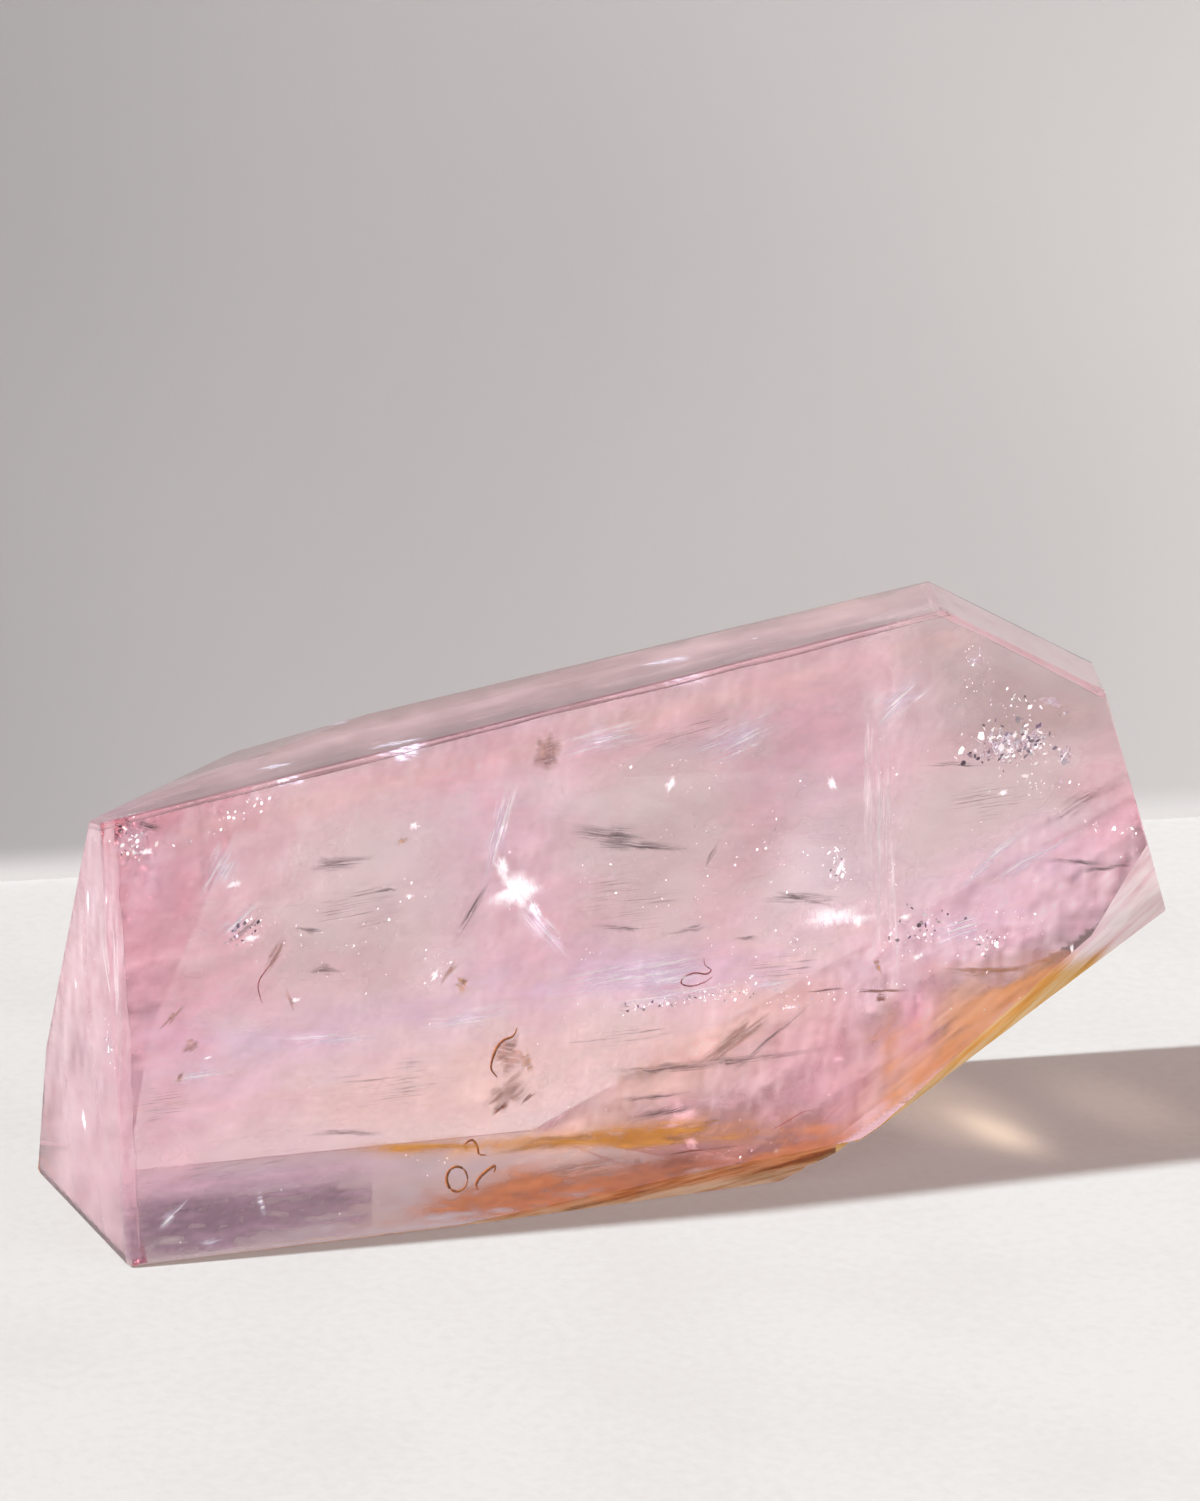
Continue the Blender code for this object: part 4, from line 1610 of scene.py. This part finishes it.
def stage_plane(name, size, place, turn, material):
    """Adds a square of the stage, which isn't part of the object."""
    bm = bmesh.new()
    bmesh.ops.create_grid(bm, x_segments=1, y_segments=1, size=size / 2)
    mesh = bpy.data.meshes.new(name)
    bm.to_mesh(mesh)
    bm.free()
    mesh.materials.append(material)
    plane = bpy.data.objects.new(name, mesh)
    plane.location = place
    plane.rotation_euler = turn
    bpy.context.scene.collection.objects.link(plane)


def floor_material():
    """Plaster, trowelled smooth. Pale and matt, with fine specks."""
    material, tree = new_material("Plaster, trowelled and pale")
    place = node(tree, "ShaderNodeTexCoord").outputs["Object"]
    specks = node(
        tree,
        "ShaderNodeTexNoise",
        {"Vector": place, "Scale": 1 / (FLOOR_SPECK * MM), "Detail": 2.0},
    )
    clouds = node(
        tree,
        "ShaderNodeTexNoise",
        {"Vector": place, "Scale": 1 / (FLOOR_CLOUD * MM), "Detail": 1.0},
    )
    both = node(
        tree,
        "ShaderNodeMath",
        {0: specks.outputs["Fac"], 1: clouds.outputs["Fac"]},
        operation="MULTIPLY",
    )
    bump = node(
        tree,
        "ShaderNodeBump",
        {"Height": specks.outputs["Fac"], "Strength": 0.3, "Distance": FLOOR_RELIEF * MM},
    )
    surface = node(
        tree,
        "ShaderNodeBsdfPrincipled",
        {
            "Base Color": colour_ramp(tree, both.outputs[0], ((0.1, "#D5D3D2"), (0.3, "#DAD9D8"))),
            "Roughness": 0.7,
            "Normal": bump.outputs[0],
        },
    )
    node(tree, "ShaderNodeOutputMaterial", {"Surface": surface.outputs[0]})
    return material


def wall_material():
    """Paper backdrop, matt and grey, with painted light: lighter towards its right, glowing, and the lit
    floor's colour at its foot.
    """
    material, tree = new_material("Backdrop paper, matt grey")
    place = node(tree, "ShaderNodeTexCoord").outputs["Object"]
    clouds = node(
        tree,
        "ShaderNodeTexNoise",
        {"Vector": place, "Scale": 1 / (WALL_CLOUD * MM), "Detail": 1.0},
    )
    across = node(tree, "ShaderNodeSeparateXYZ", {0: place}).outputs["X"]
    spread = node(
        tree,
        "ShaderNodeMapRange",
        {"Value": across, "From Min": -WALL_SPAN / 2, "From Max": WALL_SPAN / 2},
    )
    uneven = node(
        tree,
        "ShaderNodeMath",
        {0: clouds.outputs["Fac"], 1: WALL_CLOUD_SHARE, 2: spread.outputs[0]},
        operation="MULTIPLY_ADD",
    )
    shade = node(
        tree, "ShaderNodeMath", {0: uneven.outputs[0], 1: WALL_SHIFT}, operation="SUBTRACT"
    )
    height = node(tree, "ShaderNodeSeparateXYZ", {0: place}).outputs["Y"]
    sweep = node(
        tree,
        "ShaderNodeMapRange",
        {"Value": height, "From Min": -WALL_MIDDLE, "From Max": WALL_SWEEP * MM - WALL_MIDDLE},
        interpolation_type="SMOOTHSTEP",
    )
    colour = node(
        tree,
        "ShaderNodeMix",
        {0: sweep.outputs[0], 6: linear(WALL_FOOT_PAINTED_LIGHT), 7: colour_ramp(tree, shade.outputs[0], WALL_PAINTED_LIGHT_STOPS)},
        data_type="RGBA",
    ).outputs[2]
    surface = node(
        tree,
        "ShaderNodeBsdfPrincipled",
        {
            "Base Color": colour,
            "Roughness": 0.9,
            "Emission Color": colour,
            "Emission Strength": WALL_PAINTED_GLOW,
        },
    )
    # One-sided, so that it doesn't hide the stone from behind.
    side = node(tree, "ShaderNodeNewGeometry")
    unseen = node(tree, "ShaderNodeBsdfTransparent")
    mixed = node(
        tree,
        "ShaderNodeMixShader",
        {0: side.outputs["Backfacing"], 1: surface.outputs[0], 2: unseen.outputs[0]},
    )
    node(tree, "ShaderNodeOutputMaterial", {"Surface": mixed.outputs[0]})
    return material


def on_floor(px, py):
    """The point of the floor that shows at this pixel."""
    eye, sight = sight_line(px, py)
    return eye - sight * (eye.z / sight.z)


def add_lamp(name, kind, energy, place, towards, colour, **settings):
    """Adds a lamp that shines from its place towards a point."""
    lamp = bpy.data.lights.new(name, kind)
    lamp.energy = energy
    lamp.color = linear(colour)[:3]
    for key, value in settings.items():
        setattr(lamp, key, value)
    obj = bpy.data.objects.new(name, lamp)
    obj.location = place
    obj.rotation_euler = (Vector(towards) - Vector(place)).to_track_quat("-Z", "Y").to_euler()
    bpy.context.scene.collection.objects.link(obj)


def add_lights(settings):
    """Adds the key light, the soft fill and the sunlight that the stone bends into its shadow."""
    turn = settings.sun_turn
    lift = settings.sun_elevation
    ahead = Vector((math.cos(lift) * math.cos(turn), -math.cos(lift) * math.sin(turn), -math.sin(lift)))
    add_lamp(
        "Key light",
        "SUN",
        settings.sun_strength,
        -ahead,
        (0, 0, 0),
        KEY_COLOUR,
        angle=math.radians(KEY_ANGLE),
    )
    add_lamp(
        "Soft fill",
        "AREA",
        FILL_POWER,
        FILL_PLACE,
        FILL_TOWARDS,
        "#FFFFFF",
        shape="DISK",
        size=FILL_SIZE,
    )
    way_back = Vector(BENT_LIGHT_FROM).normalized()
    for name, (px, py, reach, power) in BENT_LIGHT.items():
        spot = on_floor(px, py)
        add_lamp(
            f"Bent light, {name}",
            "SPOT",
            power,
            spot + way_back * BENT_LIGHT_DISTANCE,
            spot,
            BENT_LIGHT_COLOUR,
            spot_size=2 * math.atan(reach * MM / BENT_LIGHT_DISTANCE),
            spot_blend=1.0,
            shadow_soft_size=BENT_LIGHT_SIZE,
        )


def add_world(scene):
    """Lights the scene from the studio's walls and ceiling."""
    world = bpy.data.worlds.new("Studio")
    world.use_nodes = True
    tree = world.node_tree
    tree.nodes.clear()
    way = node(tree, "ShaderNodeTexCoord").outputs["Generated"]
    rise = node(tree, "ShaderNodeSeparateXYZ", {0: way}).outputs["Z"]
    sky = colour_ramp(tree, rise, WORLD_STOPS)
    background = node(tree, "ShaderNodeBackground", {"Color": sky, "Strength": 1.0})
    node(tree, "ShaderNodeOutputWorld", {"Surface": background.outputs[0]})
    scene.world = world


def add_camera(scene):
    """Adds the camera at the photograph's place."""
    camera = bpy.data.cameras.new("Photograph's view")
    camera.sensor_width = SENSOR_MM
    camera.lens = SENSOR_MM * PHOTO_FOCAL_PIXELS / PHOTO_HEIGHT
    camera.clip_start = NEAREST_SEEN
    eye = bpy.data.objects.new("Photograph's view", camera)
    eye.location = FOOT + Vector(CAMERA_FROM_FOOT) * MM
    eye.rotation_euler = (math.radians(90 - CAMERA_DROP), 0.0, math.radians(-CAMERA_AZIMUTH))
    scene.collection.objects.link(eye)
    scene.camera = eye


class QUARTZ_OT_stage(bpy.types.Operator):
    """Adds the floor, the backdrop, the lights and the camera"""

    bl_idname = "quartz.stage"
    bl_label = "Floor, light and camera"

    def execute(self, context):
        settings = context.scene.rose_quartz.stage
        scene = context.scene
        wall_foot = FOOT.y + settings.wall_behind
        stage_plane("floor", FLOOR_SIZE, (0.0, 0.0, FLOOR_LEVEL), (0, 0, 0), floor_material())
        stage_plane(
            "backdrop",
            WALL_SIZE,
            (0.0, wall_foot, WALL_MIDDLE),
            (math.radians(90), 0, math.radians(WALL_TURN)),
            wall_material(),
        )
        add_lights(settings)
        add_world(scene)
        scene.view_settings.view_transform = "Standard"
        scene.cycles.sample_clamp_indirect = 2.0
        scene.cycles.adaptive_threshold = 0.06
        scene.cycles.max_bounces = 8
        scene.cycles.diffuse_bounces = 1
        scene.cycles.glossy_bounces = 7
        scene.cycles.transmission_bounces = 8
        scene.cycles.transparent_max_bounces = 24
        add_camera(scene)
        return {"FINISHED"}


class QUARTZ_PT_panel(bpy.types.Panel):
    """Lists the pieces in the 3D view's sidebar"""

    bl_label = "Rose quartz"
    bl_idname = "QUARTZ_PT_panel"
    bl_space_type = "VIEW_3D"
    bl_region_type = "UI"
    bl_category = "Rose quartz"

    def draw(self, context):
        for operator in OPERATORS:
            self.layout.operator(operator.bl_idname)
        settings = context.scene.rose_quartz
        for group in (settings.stone, settings.inner, settings.stage):
            for name in group.__annotations__:
                self.layout.prop(group, name)


OPERATORS = (
    QUARTZ_OT_stone,
    QUARTZ_OT_bright_fractures,
    QUARTZ_OT_dark_fractures,
    QUARTZ_OT_haze,
    QUARTZ_OT_veils,
    QUARTZ_OT_stains,
    QUARTZ_OT_sparks,
    QUARTZ_OT_stage,
)
GROUPS = (StoneSettings, InnerSettings, StageSettings, QuartzSettings)
CLASSES = (*GROUPS, *OPERATORS, QUARTZ_PT_panel)


def register():
    for cls in CLASSES:
        bpy.utils.register_class(cls)
    bpy.types.Scene.rose_quartz = bpy.props.PointerProperty(type=QuartzSettings)


def unregister():
    del bpy.types.Scene.rose_quartz
    for cls in reversed(CLASSES):
        bpy.utils.unregister_class(cls)


def main():
    register()
    bpy.ops.quartz.stone()
    bpy.ops.quartz.bright_fractures()
    bpy.ops.quartz.dark_fractures()
    bpy.ops.quartz.haze()
    bpy.ops.quartz.veils()
    bpy.ops.quartz.stains()
    bpy.ops.quartz.sparks()
    bpy.ops.quartz.stage()


if __name__ == "__main__":
    main()
